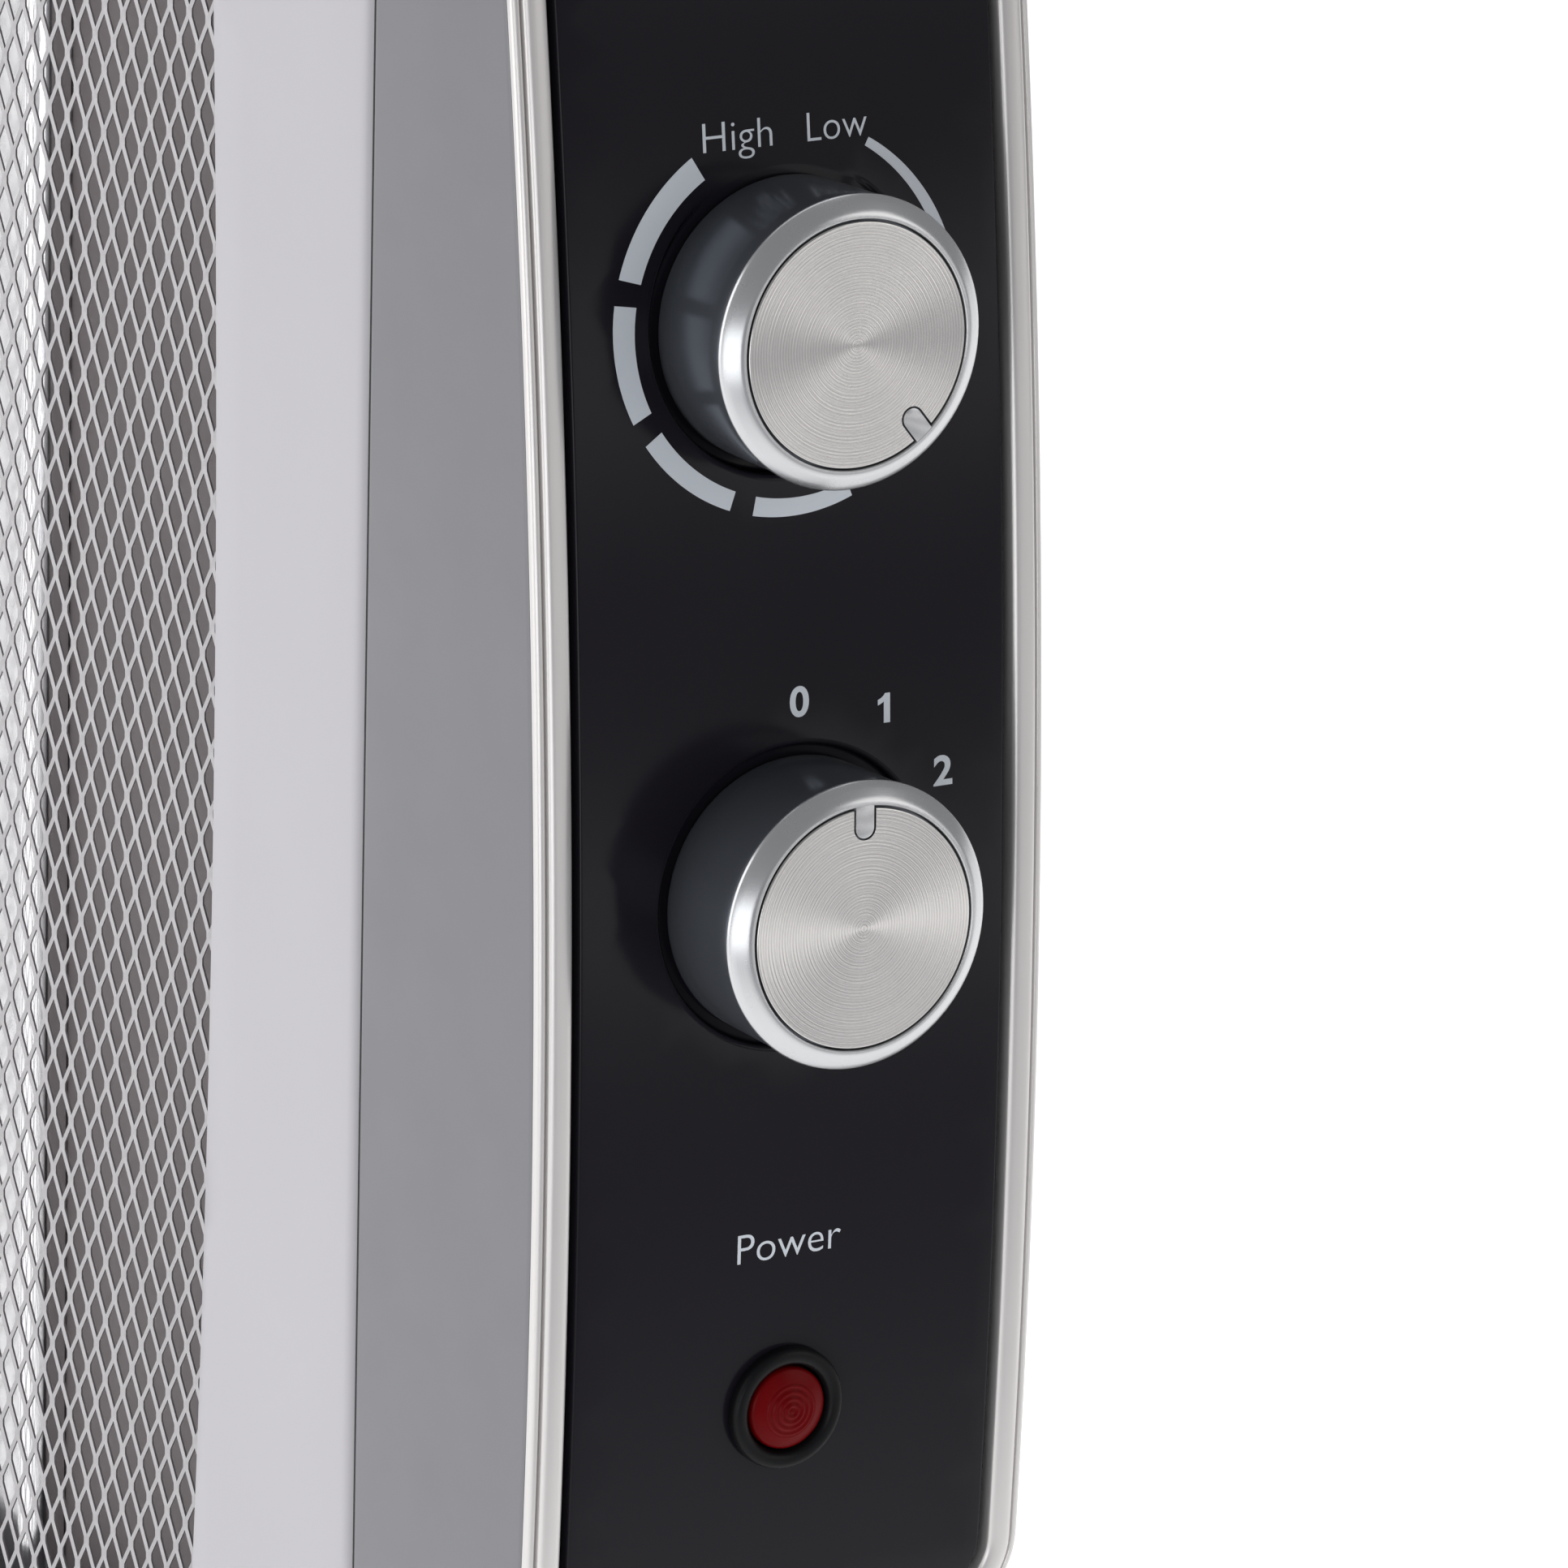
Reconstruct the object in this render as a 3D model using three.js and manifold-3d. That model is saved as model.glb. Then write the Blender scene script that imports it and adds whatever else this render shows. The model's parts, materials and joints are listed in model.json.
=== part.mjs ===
// Slim convection heater with a mica heating panel, built in millimetres, +Z up.
// X runs along the heater (controls at +X), -Y is the front grille, Z = 0 is the floor.
import * as THREE from 'three';
import Module from 'manifold-3d';
import { mergeVertices } from 'three/addons/utils/BufferGeometryUtils.js';

const wasm = await Module();
wasm.setup();
const { Manifold, Mesh } = wasm;

// ---------------------------------------------------------------- dimensions
const PEAK_X = 300.9;        // outermost point of the right end cap's bow
const LENGTH = 620;          // end cap peak to end cap peak
const MID_X = PEAK_X - LENGTH / 2;
const KNOB_Z = 280;          // axis of the power knob where it meets the fascia
const BODY_Z = [85, 540];    // underside and top of the end caps
const LOOP_Z = [KNOB_Z - 120, BODY_Z[1]]; // the bezel's loop round each end panel
const SETBACK = 2.35;        // the cap's end below the loop stands this much further in
const HALF_T = 42.5;         // half the thickness of the end caps
const CORNER = 14;           // corner radius of the body seen from the end
const BOW_R = 1231;          // radius of the bowed end face
const BOW_Z = KNOB_Z - 50;   // height where the bow is furthest out
const BOW_TOP = KNOB_Z + 160; // above this the end face runs on straight
const PANEL_T = 3.6;         // thickness of the black end panels
const WELL_R = 22.4;         // shallow round well that each knob turns in
const WELL_DEPTH = 1.6;
const CAP_DEPTH = 53.2;      // bow peak to the casing joint
const TILT = 2.0 * Math.PI / 180; // knob axes lean back from level
const KNOBS = { thermostat: KNOB_Z + 84.5, power: KNOB_Z };
const POINTERS = { thermostat: 141.6, power: 0 }; // degrees clockwise from twelve o'clock
const LAMP_Z = KNOB_Z - 78.3;
const CASE_HALF_T = 41;
const CASE_Z = [BODY_Z[0] + 1.5, BODY_Z[1] - 1.5];
const CASE_GAP = 0.35;
const SHEET = 1.2;
const WINDOW_IN = 103.0;     // bow peak to the window's side edge
const WINDOW_Z = [BODY_Z[0] + 27, BODY_Z[1] - 34];
const WINDOW_R = 2222;       // radius of the window's bowed side edges
const WINDOW_CORNER = 12;
const FOOT_X = 205;          // foot bars, either side of the middle
const FOOT_W = 34;
const CASTER_Y = 102;
const WHEEL_R = 18;
const TRAIL = 14;            // wheel axle behind the swivel axis

const LOOKS = {
  casing_paint: { color: 0xc8c6cc, roughness: 0.45, metalness: 0.1 },
  cap_plastic: { color: 0x8f8f93, roughness: 0.5, metalness: 0 },
  bezel: { color: 0xc9c8c0, roughness: 0.35, metalness: 0.3 },
  fascia_gloss: { color: 0x222126, roughness: 0.3, metalness: 0 },
  mesh_steel: { color: 0xb4b0b4, roughness: 0.4, metalness: 0.8 },
  mica: { color: 0x5f5a58, roughness: 0.7, metalness: 0 },
  aluminium: { color: 0xd6d4d4, roughness: 0.2, metalness: 1 },
  knob_dark: { color: 0x23262c, roughness: 0.3, metalness: 0 },
  knob_ring: { color: 0xa9a9ae, roughness: 0.3, metalness: 0.8 },
  knob_disc: { color: 0xc4c0bc, roughness: 0.3, metalness: 1 },
  lamp_red: { color: 0x8a1418, roughness: 0.15, metalness: 0 },
  black_plastic: { color: 0x1b1b1d, roughness: 0.5, metalness: 0 },
  zinc_steel: { color: 0xa8aaad, roughness: 0.35, metalness: 0.9 },
  ceramic: { color: 0xe2ddd2, roughness: 0.6, metalness: 0 },
  rubber: { color: 0x2a2a2b, roughness: 0.8, metalness: 0 },
};

// ------------------------------------------------------------------- helpers
const group = new THREE.Group();

function bowX(z) {
  // how far the end face stands behind its peak at height z
  const arc = (h) => -((h - BOW_Z) ** 2) / (2 * BOW_R);
  if (z <= BOW_TOP) return arc(z);
  return arc(BOW_TOP) - ((BOW_TOP - BOW_Z) / BOW_R) * (z - BOW_TOP);
}

const face = (offset) => (z) => PEAK_X + bowX(z) + offset;

function solid(geometry) {
  // closed three.js geometry to a manifold solid, turned right side out if it was mirrored
  const g = geometry.clone();
  for (const unused of ['normal', 'uv']) g.deleteAttribute(unused);
  const merged = mergeVertices(g, 1e-4);
  const vertProperties = new Float32Array(merged.attributes.position.array);
  const triVerts = new Uint32Array(merged.index.array);
  const made = new Manifold(new Mesh({ numProp: 3, vertProperties, triVerts }));
  if (made.volume() > 0) return made;
  for (let i = 0; i < triVerts.length; i += 3) {
    [triVerts[i], triVerts[i + 1]] = [triVerts[i + 1], triVerts[i]];
  }
  return new Manifold(new Mesh({ numProp: 3, vertProperties, triVerts }));
}

function toGeometry(body) {
  const mesh = body.getMesh();
  const g = new THREE.BufferGeometry();
  g.setAttribute('position', new THREE.BufferAttribute(new Float32Array(mesh.vertProperties), 3));
  g.setIndex(new THREE.BufferAttribute(new Uint32Array(mesh.triVerts), 1));
  return g;
}

function moved(body, x, y, z) {
  return solid(toGeometry(body).translate(x, y, z));
}

function mirrored(body) {
  // the same piece at the other end of the heater
  return solid(toGeometry(body).scale(-1, 1, 1).translate(2 * MID_X, 0, 0));
}

function box(x0, x1, y0, y1, z0, z1) {
  const g = new THREE.BoxGeometry(x1 - x0, y1 - y0, z1 - z0);
  return solid(g.translate((x0 + x1) / 2, (y0 + y1) / 2, (z0 + z1) / 2));
}

function extruded(points, depth, matrix) {
  const shape = new THREE.Shape(points.map(([u, v]) => new THREE.Vector2(u, v)));
  const g = new THREE.ExtrudeGeometry(shape, { depth, bevelEnabled: false });
  return solid(g.applyMatrix4(matrix));
}

function extrudeX(points, x0, x1) {
  // points are [y, z]
  const toX = new THREE.Matrix4().set(0, 0, 1, x0, 1, 0, 0, 0, 0, 1, 0, 0, 0, 0, 0, 1);
  return extruded(points, x1 - x0, toX);
}

function extrudeY(points, y0, y1) {
  // points are [x, z]
  const toY = new THREE.Matrix4().set(1, 0, 0, 0, 0, 0, -1, y1, 0, 1, 0, 0, 0, 0, 0, 1);
  return extruded(points, y1 - y0, toY);
}

function turned(profile, segments = 32) {
  // profile is [radius, height along +X]; the axis is +X
  const points = profile.map(([r, h]) => new THREE.Vector2(r, h));
  const toX = new THREE.Matrix4().set(0, 1, 0, 0, 1, 0, 0, 0, 0, 0, -1, 0, 0, 0, 0, 1);
  return solid(new THREE.LatheGeometry(points, segments).applyMatrix4(toX));
}

function rodX(r, x0, x1, segments = 28) {
  return turned([[0, x0], [r, x0], [r, x1], [0, x1]], segments);
}

function rodZ(r, z0, z1, x, y, segments = 18) {
  const g = new THREE.CylinderGeometry(r, r, z1 - z0, segments).rotateX(Math.PI / 2);
  return solid(g.translate(x, y, (z0 + z1) / 2));
}

function rodY(r, y0, y1, x, z, segments = 20) {
  const g = new THREE.CylinderGeometry(r, r, y1 - y0, segments);
  return solid(g.translate(x, (y0 + y1) / 2, z));
}

function roundedRect(halfY, z0, z1, radius, cornerSteps = 4, sideSteps = 12) {
  // outline as [y, z], counter-clockwise seen from +X, starting low on the +Y side
  const pts = [];
  const line = (a, b, n) => {
    for (let i = 0; i < n; i += 1) {
      const t = i / n;
      pts.push([a[0] + (b[0] - a[0]) * t, a[1] + (b[1] - a[1]) * t]);
    }
  };
  const arc = (cy, cz, a0) => {
    for (let i = 0; i < cornerSteps; i += 1) {
      const a = a0 + (i / cornerSteps) * Math.PI / 2;
      pts.push([cy + radius * Math.cos(a), cz + radius * Math.sin(a)]);
    }
  };
  const y = halfY - radius;
  line([halfY, z0 + radius], [halfY, z1 - radius], sideSteps);
  arc(y, z1 - radius, 0);
  line([y, z1], [-y, z1], 1);
  arc(-y, z1 - radius, Math.PI / 2);
  line([-halfY, z1 - radius], [-halfY, z0 + radius], sideSteps);
  arc(-y, z0 + radius, Math.PI);
  line([-y, z0], [y, z0], 1);
  arc(y, z0 + radius, Math.PI * 1.5);
  return pts;
}

function insetOutline([low, high], inset, cornerSteps = 4, sideSteps = 12) {
  const radius = Math.max(CORNER - inset, 1);
  return roundedRect(HALF_T - inset, low + inset, high - inset, radius, cornerSteps, sideSteps);
}

function loftRing(range, section) {
  // section is [inset, x of z]; it is carried round an outline between two heights
  const rings = section.map(([inset, x]) => insetOutline(range, inset).map(([y, z]) => [x(z), y, z]));
  const n = rings[0].length;
  const index = [];
  rings.forEach((_, r) => {
    const s = (r + 1) % rings.length;
    for (let i = 0; i < n; i += 1) {
      const j = (i + 1) % n;
      index.push(r * n + i, r * n + j, s * n + j, r * n + i, s * n + j, s * n + i);
    }
  });
  const g = new THREE.BufferGeometry();
  g.setAttribute('position', new THREE.Float32BufferAttribute(rings.flat(2), 3));
  g.setIndex(index);
  return solid(g);
}

function add(name, body, colour, parent = group) {
  const g = toGeometry(body);
  g.computeVertexNormals();
  const part = new THREE.Mesh(g, new THREE.MeshStandardMaterial(LOOKS[colour]));
  part.name = name;
  parent.add(part);
  return part;
}

// ------------------------------------------------------ casing and its grilles
const caseX = [MID_X - LENGTH / 2 + CAP_DEPTH + CASE_GAP, PEAK_X - CAP_DEPTH - CASE_GAP];

function windowOutline(inset) {
  // [x, z] outline of the grille window with bowed sides
  const pts = [];
  const z0 = WINDOW_Z[0] + inset;
  const z1 = WINDOW_Z[1] - inset;
  const zMid = KNOB_Z + 10;
  const side = (z) => LENGTH / 2 - WINDOW_IN - inset - ((z - zMid) ** 2) / (2 * WINDOW_R);
  const r = WINDOW_CORNER - inset;
  const steps = 10;
  for (let i = 0; i <= steps; i += 1) {
    const z = z0 + r + (z1 - z0 - 2 * r) * (i / steps);
    pts.push([side(z), z]);
  }
  for (let i = 1; i <= 5; i += 1) {
    const a = (i / 5) * Math.PI / 2;
    pts.push([side(z1 - r) - r + r * Math.cos(a), z1 - r + r * Math.sin(a)]);
  }
  const foot = [];
  for (let i = 1; i <= 5; i += 1) {
    const a = (i / 5) * Math.PI / 2;
    foot.push([side(z0 + r) - r + r * Math.cos(a), z0 + r - r * Math.sin(a)]);
  }
  const right = [...foot.reverse(), ...pts];
  const left = right.map(([x, z]) => [-x, z]).reverse();
  return [...right, ...left].map(([x, z]) => [x + MID_X, z]);
}

function casingShell() {
  const r = CORNER - 1.5;
  const outer = roundedRect(CASE_HALF_T, CASE_Z[0], CASE_Z[1], r, 6, 1);
  const inner = roundedRect(CASE_HALF_T - SHEET, CASE_Z[0] + SHEET, CASE_Z[1] - SHEET, r - SHEET, 6, 1);
  return extrudeX(outer, ...caseX).subtract(extrudeX(inner, caseX[0] - 1, caseX[1] + 1));
}

const shell = casingShell();
const windowCut = windowOutline(0);
const frontHalf = box(caseX[0] - 1, caseX[1] + 1, -60, -20, 0, 600);
const backHalf = box(caseX[0] - 1, caseX[1] + 1, 20, 60, 0, 600);
add('front_casing', shell.intersect(frontHalf).subtract(extrudeY(windowCut, -60, -30)), 'casing_paint');
add('rear_casing', shell.intersect(backHalf).subtract(extrudeY(windowCut, 30, 60)), 'casing_paint');

function slottedStrip(z0, z1, pitch) {
  let strip = box(caseX[0], caseX[1], -19.65, 19.65, z0, z1);
  for (let x = caseX[0] + 22; x < caseX[1] - 18; x += pitch) {
    if (z1 > 400 && Math.abs(x - MID_X) < 92) continue;
    strip = strip.subtract(box(x - 4.5, x + 4.5, -15, 15, z0 - 1, z1 + 1));
  }
  return strip;
}
add('top_grille', slottedStrip(CASE_Z[1] - 2.2, CASE_Z[1] - 0.2, 15.6), 'black_plastic');
add('bottom_grille', slottedStrip(CASE_Z[0] + 0.2, CASE_Z[0] + 2.2, 20.8), 'black_plastic');

const meshSheet = windowOutline(-7);
add('front_mesh', extrudeY(meshSheet, -39.5, -38.7), 'mesh_steel');
add('rear_mesh', extrudeY(meshSheet, 38.7, 39.5), 'mesh_steel');

// ------------------------------------------------------------- heating panel
const boardZ = [BODY_Z[0] + 24, BODY_Z[1] - 24];
const boardX = [MID_X - 214, MID_X + 214];
const plateX = [MID_X - 124.5, MID_X + 124.5];

function radiantPlate() {
  // shallow pan with rolled sides, open towards +Y
  const section = [];
  const r = 4;
  const t = 0.8;
  const arc = (cx, cy, rad, a0, a1) => {
    for (let i = 0; i <= 4; i += 1) {
      const a = a0 + (a1 - a0) * (i / 4);
      section.push([cx + rad * Math.cos(a), cy + rad * Math.sin(a)]);
    }
  };
  const [x0, x1] = plateX;
  section.push([x1, -21.5]);
  arc(x1 - r, -28 + r, r, 0, -Math.PI / 2);
  arc(x0 + r, -28 + r, r, -Math.PI / 2, -Math.PI);
  section.push([x0, -21.5], [x0 + t, -21.5]);
  arc(x0 + r, -28 + r, r - t, -Math.PI, -Math.PI / 2);
  arc(x1 - r, -28 + r, r - t, -Math.PI / 2, 0);
  section.push([x1 - t, -21.5]);
  const s = new THREE.Shape(section.map(([x, y]) => new THREE.Vector2(x, y)));
  const z0 = boardZ[0] + 14;
  const g = new THREE.ExtrudeGeometry(s, { depth: boardZ[1] - 14 - z0, bevelEnabled: false });
  return solid(g.translate(0, 0, z0));
}

add('mica_board_front', box(...boardX, -21.2, -19.8, ...boardZ), 'mica');
add('mica_board_rear', box(...boardX, 19.8, 21.2, ...boardZ), 'mica');
const plate = radiantPlate();
add('radiant_plate_front', plate, 'aluminium');
add('radiant_plate_rear', solid(toGeometry(plate).scale(1, -1, 1)), 'aluminium');

function elementRail(z0, up) {
  // steel channel across the body, notched for the two boards
  const z1 = z0 + 14;
  const w = 24;
  const rail = box(caseX[0] + 4, caseX[1] - 4, -w, w, z0, z1);
  const [a, b] = up ? [z0 + SHEET, z1 + 1] : [z0 - 1, z1 - SHEET];
  return rail.subtract(box(caseX[0], caseX[1], -w + SHEET, w - SHEET, a, b));
}
add('element_rail_lower', elementRail(boardZ[0] - 3, true), 'zinc_steel');
add('element_rail_upper', elementRail(boardZ[1] - 11, false), 'zinc_steel');

// ------------------------------------------------------------------ end caps
const rim = () => PEAK_X - CAP_DEPTH;

function lipX(offset) {
  // the cap's outer lip, which sinks to the closing wall below the bezel's loop
  const share = (z) => Math.min(Math.max((LOOP_Z[0] + 20 - z) / 12, 0), 1);
  return (z) => face(offset - SETBACK * share(z))(z);
}

function bowProfile(offset, steps = 14) {
  // [x, z] points down the end face
  const pts = [];
  for (let i = 0; i <= steps; i += 1) {
    const z = BODY_Z[0] - 2 + (BODY_Z[1] - BODY_Z[0] + 4) * (i / steps);
    pts.push([PEAK_X + bowX(z) + offset, z]);
  }
  return pts;
}

function bowedSlab(range, inset, front, back) {
  // flat outline between two heights, cut to follow the bow
  const prism = extrudeX(insetOutline(range, inset, 6, 1), PEAK_X - 60, PEAK_X + 5);
  return prism.intersect(extrudeY([...bowProfile(front), ...bowProfile(back).reverse()], -50, 50));
}

function endCap() {
  const ring = loftRing(BODY_Z, [
    [0, rim], [0, lipX(-2.0)], [0.4, lipX(-1.65)], [1.0, lipX(-1.65)], [1.0, face(-4.01)],
    [8.5, face(-4.01)], [8.5, face(-6.5)], [2.5, face(-6.5)], [2.5, rim],
  ]);
  const low = box(PEAK_X - 60, PEAK_X + 5, -50, 50, BODY_Z[0], LOOP_Z[0] + 10);
  return ring.add(bowedSlab(BODY_Z, 0.8, -4, -6.5).intersect(low));
}

function bezel() {
  return loftRing(LOOP_Z, [
    [0.1, face(-1.5)], [0.1, face(-0.7)], [0.6, face(0)], [1.35, face(-0.1)], [1.65, face(0.3)],
    [2.0, face(0.7)], [2.8, face(0.9)], [5.0, face(0.8)], [5.6, face(0.4)], [5.6, face(-3.7)],
    [1.15, face(-3.7)], [1.15, face(-1.5)],
  ]);
}

function tiltedTo(z) {
  // from a frame about the +X axis to a knob's own axis on the fascia
  const lean = new THREE.Matrix4().makeRotationY(-TILT);
  return lean.setPosition(PEAK_X + bowX(z), 0, z);
}

const onAxis = (body, z) => solid(toGeometry(body).applyMatrix4(tiltedTo(z)));

const endPanel = () => bowedSlab(LOOP_Z, 6, 0, -PANEL_T);

function fasciaPanel() {
  let panel = endPanel();
  const behind = extrudeY([[PEAK_X - 60, 0], ...bowProfile(0), [PEAK_X - 60, 600]], -50, 50);
  for (const z of Object.values(KNOBS)) {
    panel = panel.add(onAxis(rodX(24.2, -6.4, 3, 32), z).intersect(behind));
    panel = panel.subtract(onAxis(rodX(WELL_R, -WELL_DEPTH, 12, 36), z));
    panel = panel.subtract(onAxis(rodX(3.7, -12, 4, 20), z));
  }
  return panel.subtract(moved(rodX(8.2, -20, 20), PEAK_X, 0, LAMP_Z));
}

const glandAt = { x: PEAK_X - 30, z: BODY_Z[0] + 34 };
const cap = endCap();
add('end_cap_right', cap.subtract(rodY(7.2, 30, 50, glandAt.x, glandAt.z)), 'cap_plastic');
add('end_cap_left', mirrored(cap), 'cap_plastic');
const ring = bezel();
add('bezel_right', ring, 'bezel');
add('bezel_left', mirrored(ring), 'bezel');
add('fascia_panel', fasciaPanel(), 'fascia_gloss');
add('end_panel_left', mirrored(endPanel()), 'fascia_gloss');

// ---------------------------------------------------------------------- lamp
const lamp = new THREE.Group();
lamp.position.set(PEAK_X + bowX(LAMP_Z), 0, LAMP_Z);
group.add(lamp);
add('lamp_bezel', turned([
  [6.6, -9], [8.0, -9], [8.0, 0.3], [9.4, 0.3], [9.4, 1.3], [8.6, 2.2],
  [7.2, 2.2], [6.6, 1.2], [6.6, -9],
], 24), 'black_plastic', lamp);
add('lamp_lens', turned([
  [0, -7], [6.3, -7], [6.3, 1.7], [5.6, 2.3], [4.9, 1.9], [3.9, 2.7], [3.1, 2.3], [1.9, 3.0], [0, 3.1],
], 24), 'lamp_red', lamp);

// --------------------------------------------------------------------- knobs
function pointer(extra) {
  // U-shaped index mark at twelve o'clock on a knob's face
  const w = 1.55 + extra;
  return box(17.6, 20.4, -w, w, 14.9, 20).add(moved(rodX(w, 17.6, 20.4, 20), 0, 0, 14.9));
}

function knobSkirt() {
  return turned([
    [0, 12], [3.06, 12], [3.06, 1], [6, 1], [6, 14.2], [19, 14.2], [19, -1.0],
    [20.8, -1.0], [21.1, 16.5], [0, 16.5],
  ]);
}

function knobRing() {
  const cup = turned([
    [0, 16.7], [21.3, 16.7], [21.4, 17.1], [18.9, 19.3], [18.3, 19.45], [18.05, 19.3],
    [18.05, 18.3], [0, 18.3],
  ], 36);
  return cup.add(pointer(0).intersect(rodX(18.2, 18.2, 19.4, 36)));
}

function knobDisc() {
  return rodX(17.8, 18.5, 19.4, 36).subtract(pointer(0.25));
}

function shaft() {
  return rodX(3, -16, 11.8).subtract(box(2, 13, -4, 4, 2.2, 4));
}

function control(case_) {
  return case_.add(rodX(5, -9.5, -6.8)).subtract(rodX(3.07, -17, 5));
}

const controls = {
  thermostat: control(rodX(17, -24, -9, 24).add(box(-24, -20, -19, 19, -10, 10))),
  power: control(box(-29.5, -9, -15, 15, -17, 17)),
};
for (const [name, z] of Object.entries(KNOBS)) {
  const axis = new THREE.Group();
  axis.applyMatrix4(tiltedTo(z));
  group.add(axis);
  const turn = -POINTERS[name] * Math.PI / 180;
  add(`knob_${name}_skirt`, knobSkirt(), 'knob_dark', axis);
  add(`knob_${name}_ring`, knobRing(), 'knob_ring', axis).rotation.x = turn;
  add(`knob_${name}_disc`, knobDisc(), 'knob_disc', axis).rotation.x = turn;
  add(`${name}_shaft`, shaft(), 'zinc_steel', axis);
  add(`${name}_control`, controls[name], 'ceramic', axis);
}

// ------------------------------------------------------- parts inside the cap
const bracketX = PEAK_X - 34.2;
let bracket = box(bracketX, bracketX + 1.2, -34, 34, KNOB_Z - 60, KNOB_Z + 125);
bracket = bracket.add(box(bracketX - 14, bracketX + 1.2, -34, -32.8, KNOB_Z - 60, KNOB_Z + 125));
add('control_bracket', bracket, 'zinc_steel');

let terminals = box(bracketX - 15, bracketX - 0.4, -16, 16, KNOB_Z - 50, KNOB_Z - 30);
for (const y of [-10.5, 0, 10.5]) {
  terminals = terminals.subtract(box(bracketX - 16, bracketX - 9, y - 3.4, y + 3.4, KNOB_Z - 47, KNOB_Z - 29));
}
add('terminal_block', terminals, 'ceramic');

const tip = box(PEAK_X - 44, PEAK_X - 22, -11, 11, BODY_Z[0] + 3, BODY_Z[0] + 27)
  .add(rodZ(4.5, BODY_Z[0] + 26, BODY_Z[0] + 33, PEAK_X - 33, 0));
add('tip_over_switch', tip, 'black_plastic');

const cutoutAt = { x: MID_X + 150, z: boardZ[1] - 60 };
const cutout = rodY(8.2, -18.2, -11, cutoutAt.x, cutoutAt.z)
  .add(box(cutoutAt.x - 12, cutoutAt.x + 12, -19.5, -18.1, cutoutAt.z - 5, cutoutAt.z + 5));
add('thermal_cutout', cutout, 'ceramic');

const gland = add('cord_gland', turned([
  [4, 0], [6.9, 0], [6.9, 5], [9.6, 5], [9.6, 6.5], [6.5, 11], [4, 11], [4, 0],
], 20), 'rubber');
gland.rotation.z = Math.PI / 2;
gland.position.set(glandAt.x, HALF_T - 4.7, glandAt.z);

// -------------------------------------------------------------- carry handle
const topZ = CASE_Z[1];
const handle = extrudeY([
  [-76, topZ + 0.2], [-56, topZ + 0.2], [-56, topZ + 14], [-51, topZ + 19], [51, topZ + 19],
  [56, topZ + 14], [56, topZ + 0.2], [76, topZ + 0.2], [76, topZ + 18], [72, topZ + 25.5],
  [63, topZ + 29.5], [-63, topZ + 29.5], [-72, topZ + 25.5], [-76, topZ + 18],
].map(([x, z]) => [x + MID_X, z]), -12, 12);
add('carry_handle', handle, 'black_plastic');

// ---------------------------------------------------------- feet and casters
const footProfile = [
  [-118, 46], [-114, 44], [114, 44], [118, 46], [118, 53], [112, 58], [50, 80], [44, 86.2],
  [-44, 86.2], [-50, 80], [-112, 58], [-118, 53],
];
function footBar() {
  let foot = extrudeX(footProfile, -FOOT_W / 2, FOOT_W / 2);
  for (const y of [-CASTER_Y, CASTER_Y]) foot = foot.subtract(rodZ(4.08, 40, 54, 0, y));
  return foot;
}

function casterFork() {
  // swivel stem on the Z axis, cheeks trailing towards +X
  const cheek = [
    [-9, 43], [-9, 38], [TRAIL - 6, 14], [TRAIL - 2, 11.5], [TRAIL + 3, 11.5],
    [TRAIL + 6, 15], [TRAIL + 7, 22], [12, 43],
  ];
  return box(-9, 12, -11, 11, 38.6, 43)
    .add(extrudeY(cheek, -11, -8.2))
    .add(extrudeY(cheek, 8.2, 11))
    .add(rodZ(4, 42.5, 53, 0, 0))
    .subtract(rodY(2.56, -20, 20, TRAIL, WHEEL_R));
}

function casterWheel() {
  return turned([
    [2.58, -7.6], [7, -7.6], [WHEEL_R - 2, -7], [WHEEL_R, -5], [WHEEL_R, 5],
    [WHEEL_R - 2, 7], [7, 7.6], [2.58, 7.6], [2.58, -7.6],
  ], 28);
}

for (const [side, dir] of [['left', -1], ['right', 1]]) {
  const foot = add(`foot_bar_${side}`, footBar(), 'black_plastic');
  foot.position.x = MID_X + dir * FOOT_X;
  for (const [end, y] of [['front', -CASTER_Y], ['rear', CASTER_Y]]) {
    const caster = new THREE.Group();
    caster.position.set(foot.position.x, y, 0);
    caster.rotation.z = dir > 0 ? 0 : Math.PI;
    group.add(caster);
    add(`caster_fork_${end}_${side}`, casterFork(), 'zinc_steel', caster);
    const axle = add(`caster_axle_${end}_${side}`, rodX(2.5, -11.6, 11.6, 16), 'zinc_steel', caster);
    const wheel = add(`caster_wheel_${end}_${side}`, casterWheel(), 'rubber', caster);
    for (const part of [axle, wheel]) {
      part.position.set(TRAIL, 0, WHEEL_R);
      part.rotation.z = Math.PI / 2;
    }
  }
}

export default group;
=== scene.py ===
"""Looks of a slim mica panel heater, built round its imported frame.

Sizes are in millimetres and become metres only when a piece's mesh is made. +X runs along the heater
to the controls, -Y is the front grille and Z = 0 is the floor.
"""

import json
import logging
import math
from collections.abc import Callable, Sequence
from dataclasses import dataclass
from enum import Enum

import bmesh
import bpy
import numpy as np
from mathutils import Matrix, Vector
from mathutils.geometry import delaunay_2d_cdt


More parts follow.
